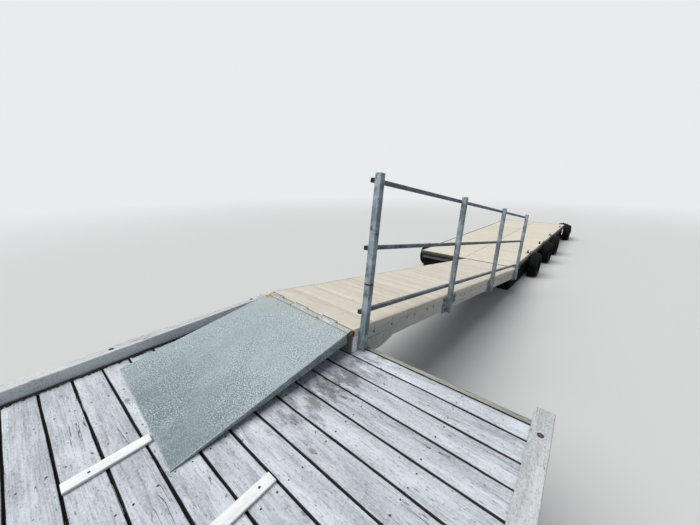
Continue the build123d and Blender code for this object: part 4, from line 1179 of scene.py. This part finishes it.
def tyre(shape, centre, axis, radius, bore, width, seed):
    """A worn tyre: a superellipse section of power 2.9 turned about its axle, open at the bead. Its
    tread is cut by three grooves round it and slanting slots across it, and raised rings run round
    its walls."""
    turns, outer_steps, inner_steps = 150, 47, 21
    turn = np.linspace(0, tau, turns, endpoint=False)
    outer_phi = np.linspace(-158, 158, outer_steps)
    inner_phi = np.linspace(152, -152, inner_steps)
    phi = np.concatenate([outer_phi, inner_phi]) * pi / 180
    inside = np.arange(len(phi)) >= outer_steps
    mid, reach, half = (radius + bore) / 2, (radius - bore) / 2, width / 2
    thin = np.where(inside, 0.80, 1.0)
    power = 2 / 2.9
    side = np.sign(np.sin(phi)) * np.abs(np.sin(phi)) ** power * half * np.where(inside, 0.86, 1.0)
    out = mid + np.sign(np.cos(phi)) * np.abs(np.cos(phi)) ** power * reach * thin
    side, out = np.broadcast_to(side, (turns, len(phi))), np.broadcast_to(out, (turns, len(phi)))
    share = side / half
    tread = smooth(out, radius - 0.020, radius - 0.008) * ~inside
    grooves = sum(smooth(np.abs(share - g), 0.075, 0.030) for g in (-0.42, 0.0, 0.42))
    slots = smooth(np.abs(np.sin(turn[:, None] * 33 + share * 3.0)), 0.30, 0.12)
    slots = slots * smooth(np.abs(share), 0.38, 0.5)
    cut = np.clip(grooves + slots, 0, 1) * tread
    wall = smooth(np.abs(share), 0.80, 0.95) * ~inside
    rings = wall * (np.abs(np.sin((out - bore) / (radius - bore) * pi * 3.5)) > 0.92)
    out = out - cut * 0.007
    side = side + np.sign(side) * rings * 0.0025
    local = np.stack([np.cos(turn)[:, None] * out, np.sin(turn)[:, None] * out, side], -1)
    shape.grid(put(facing(WORLD, centre, axis), local), local, seed, cut, loop=True)


TYRE_BORE = 0.165                 # radius of a tyre's opening
for node, name, axis in (("tyres_right", "right_fenders", 1), ("tyre_left", "left_fender", -1),
                         ("tyre_end", "end_fender", 2)):
    shape = Shape()
    for k, (low, high) in enumerate(solids(node, WORLD)):
        size = high - low
        tyre(shape, (low + high) / 2, axis, size[2] / 2, TYRE_BORE, size[abs(axis) - 1], k)
    shape.build(name, tyre_rubber, "float", [node], crease=50)


def rounded_path(corners, radius, step=0.006):
    """A path along corners, each rounded by the curve here + back r (1 - w)(1 - w) + ahead r w w, and
    cut into short steps."""
    corners = np.array(corners, float)
    points = [corners[0]]
    for before, here, after in zip(corners[:-2], corners[1:-1], corners[2:]):
        back, ahead = before - here, after - here
        back, ahead = back / np.linalg.norm(back), ahead / np.linalg.norm(ahead)
        w = np.linspace(0, 1, 9)[:, None]
        points += list(here + back * radius * (1 - w) ** 2 + ahead * radius * w ** 2)
    points = np.array(points + [corners[-1]])
    run = lengths(points)
    s = np.linspace(0, run[-1], max(8, int(run[-1] / step)))
    return np.stack([np.interp(s, run, points[:, k]) for k in range(3)], -1)


def strands(radius, lay):
    """A three-strand outline that turns once in every lay of length."""
    angle = np.arange(21) / 21 * tau

    def outline(k, s):
        r = radius * (0.80 + 0.20 * np.abs(np.cos(1.5 * (angle - tau * s / lay))))
        return np.stack([np.cos(angle) * r, np.sin(angle) * r], -1)
    return outline


ROPE = 0.009                      # a rope's radius
shape = Shape()
for low, high in solids("tyre_ropes", WORLD):
    middle_at = (low + high) / 2
    across_side = abs(high[0] - low[0]) > abs(high[1] - low[1])
    k = 0 if across_side else 1
    on_left = k == 0 and middle_at[0] < HINGE[0]
    outward = -1 if on_left else 1
    inner, outer = (low[k], high[k]) if outward > 0 else (high[k], low[k])
    held = inner + outward * 0.017
    hung = outer - outward * ROPE * 1.8
    side_to_side = middle_at[1 - k]
    route = [(hung, low[2] + 0.012), (hung, high[2] - ROPE), (held, high[2] - ROPE),
             (held, float_top + 0.004)]
    corners = [(a, side_to_side, z) if k == 0 else (side_to_side, a, z) for a, z in route]
    up = (0, 1, 0.01) if k == 0 else (1, 0, 0.01)
    carried(shape, rounded_path(corners, 0.02), strands(ROPE, 0.05), up=up)
    knot = [(0.004, -0.014), (0.013, -0.010), (0.016, 0), (0.013, 0.010), (0.006, 0.014)]
    lathe(shape, standing(corners[0]), knot, 14)
    button = [(0.022, -0.007), (0.022, 0.002), (0.016, 0.006), (0.009, 0.007)]
    lathe(shape, standing(np.array(corners[3]) + (0, 0, 0.004)), button, 16)
shape.build("fender_ropes", laid_rope, "float", ["tyre_ropes"])

shape = Shape()
for low, high in solids("cleats", WORLD):
    x, y, _ = (low + high) / 2
    half = (high[1] - low[1]) / 2
    along = np.linspace(-half, half, 25)
    out = np.abs(along) / half
    lift = 0.046 + 0.006 * out ** 3
    thick = 0.0115 * np.sqrt(np.clip(1 - out ** 5, 0.02, 1)) * (1 - 0.25 * out)
    horn = np.column_stack([np.full(25, x), y + along, float_top + lift])
    carried(shape, horn, lambda k, s: circle(thick[k], 14) * (1, 0.85))
    plate(shape, standing((x, y, float_top)), rounded(0.048, 0.124, 0.012), 0.008, 0.002)
    for dy in (-0.032, 0.032):
        stem = [(0.017, 0.006), (0.013, 0.012), (0.0105, 0.022), (0.0105, 0.034), (0.014, 0.046)]
        lathe(shape, standing((x, y + dy, float_top)), stem, 14)
    for dx, dy in ((-0.014, -0.052), (0.014, -0.052), (-0.014, 0.052), (0.014, 0.052)):
        screw = [(0.006, 0), (0.006, 0.001), (0.004, 0.0026)]
        lathe(shape, standing((x + dx, y + dy, float_top + 0.0075)), screw, 10)
shape.build("cleat_castings", dark_iron, "float", ["cleats"])

# Camera, floor and light
camera = bpy.data.objects.new("camera", bpy.data.cameras.new("camera"))
bpy.context.scene.collection.objects.link(camera)
bpy.context.scene.camera = camera
level = np.array([cos(CAMERA_TURN), sin(CAMERA_TURN), 0.0])
ahead = np.array([-sin(CAMERA_TURN), cos(CAMERA_TURN), 0.0])
forward = ahead * cos(CAMERA_DOWN) - np.array([0, 0, sin(CAMERA_DOWN)])
down = np.cross(forward, level)
to_right = level * cos(CAMERA_ROLL) + down * sin(CAMERA_ROLL)
to_below = down * cos(CAMERA_ROLL) - level * sin(CAMERA_ROLL)
stand = np.eye(4)
stand[:3] = np.column_stack([to_right, -to_below, -forward, CAMERA_AT])
camera.matrix_world = Matrix(stand.tolist())
camera.data.sensor_width = SENSOR
camera.data.lens = LENS
camera.data.clip_start, camera.data.clip_end = 0.05, 500.0

BACKDROP = colour(233, 235, 237)


def stage_paint():
    """Pale floor, which throws back a little less light than the camera sees. Far off, seen straight
    or in a reflection, it takes the backdrop's own colour."""
    p = Paint("stage_paint")
    x, y, _ = p.split(p.place())
    away = ((x - 0.5) * (x - 0.5) + (y - 5.0) * (y - 5.0)).root().over(9.0, 30.0)
    ray = p.node("LightPath", output="Is Camera Ray")
    glossy = ray.out("Is Glossy Ray")
    tint = p.mix(ray, colour(172, 174, 176), colour(214, 215, 216))
    p.finish(Base_Color=tint, Roughness=0.9, Specular_IOR_Level=0.1)
    glow = p.node("Emission", sockets={0: BACKDROP, 1: 1.0})
    near = Field(p, p.shader.outputs[0])
    blend = p.node("MixShader", sockets={0: away * (ray + glossy), 1: near, 2: glow})
    p.tree.links.new(blend.socket, p.tree.nodes["Material Output"].inputs[0])
    return p.material


FLOOR_REACH = 120
floor_corners = [(x * FLOOR_REACH, y * FLOOR_REACH, 0) for x, y in ((-1, -1), (1, -1), (1, 1), (-1, 1))]
floor_mesh = bpy.data.meshes.new("floor")
floor_mesh.from_pydata(floor_corners, [], [(0, 1, 2, 3)])
floor_mesh.materials.append(stage_paint())
floor = bpy.data.objects.new("floor", floor_mesh)
bpy.context.scene.collection.objects.link(floor)


def light():
    """An overcast sky: an even dome, and a wide soft lamp high on the camera's left, a little behind it."""
    world = bpy.data.worlds.new("sky")
    bpy.context.scene.world = world
    world.use_nodes = True
    tree = world.node_tree
    dome = tree.nodes["Background"]
    dome.inputs[0].default_value = colour(222, 230, 240)
    dome.inputs[1].default_value = 0.31
    seen = tree.nodes.new("ShaderNodeBackground")
    seen.inputs[0].default_value = BACKDROP
    path = tree.nodes.new("ShaderNodeLightPath")
    either = tree.nodes.new("ShaderNodeMath")
    either.operation = "MAXIMUM"
    tree.links.new(path.outputs["Is Camera Ray"], either.inputs[0])
    tree.links.new(path.outputs["Is Glossy Ray"], either.inputs[1])
    blend = tree.nodes.new("ShaderNodeMixShader")
    tree.links.new(either.outputs[0], blend.inputs[0])
    tree.links.new(dome.outputs[0], blend.inputs[1])
    tree.links.new(seen.outputs[0], blend.inputs[2])
    tree.links.new(blend.outputs[0], tree.nodes["World Output"].inputs[0])
    lamp = bpy.data.lights.new("soft_lamp", "SUN")
    lamp.energy = 2.9
    lamp.angle = radians(50)
    lamp.color = colour(255, 253, 248)[:3]
    sun = bpy.data.objects.new("soft_lamp", lamp)
    sun.rotation_euler = (radians(30), radians(-16), 0)
    bpy.context.scene.collection.objects.link(sun)


light()
bpy.context.scene.view_settings.view_transform = "Standard"
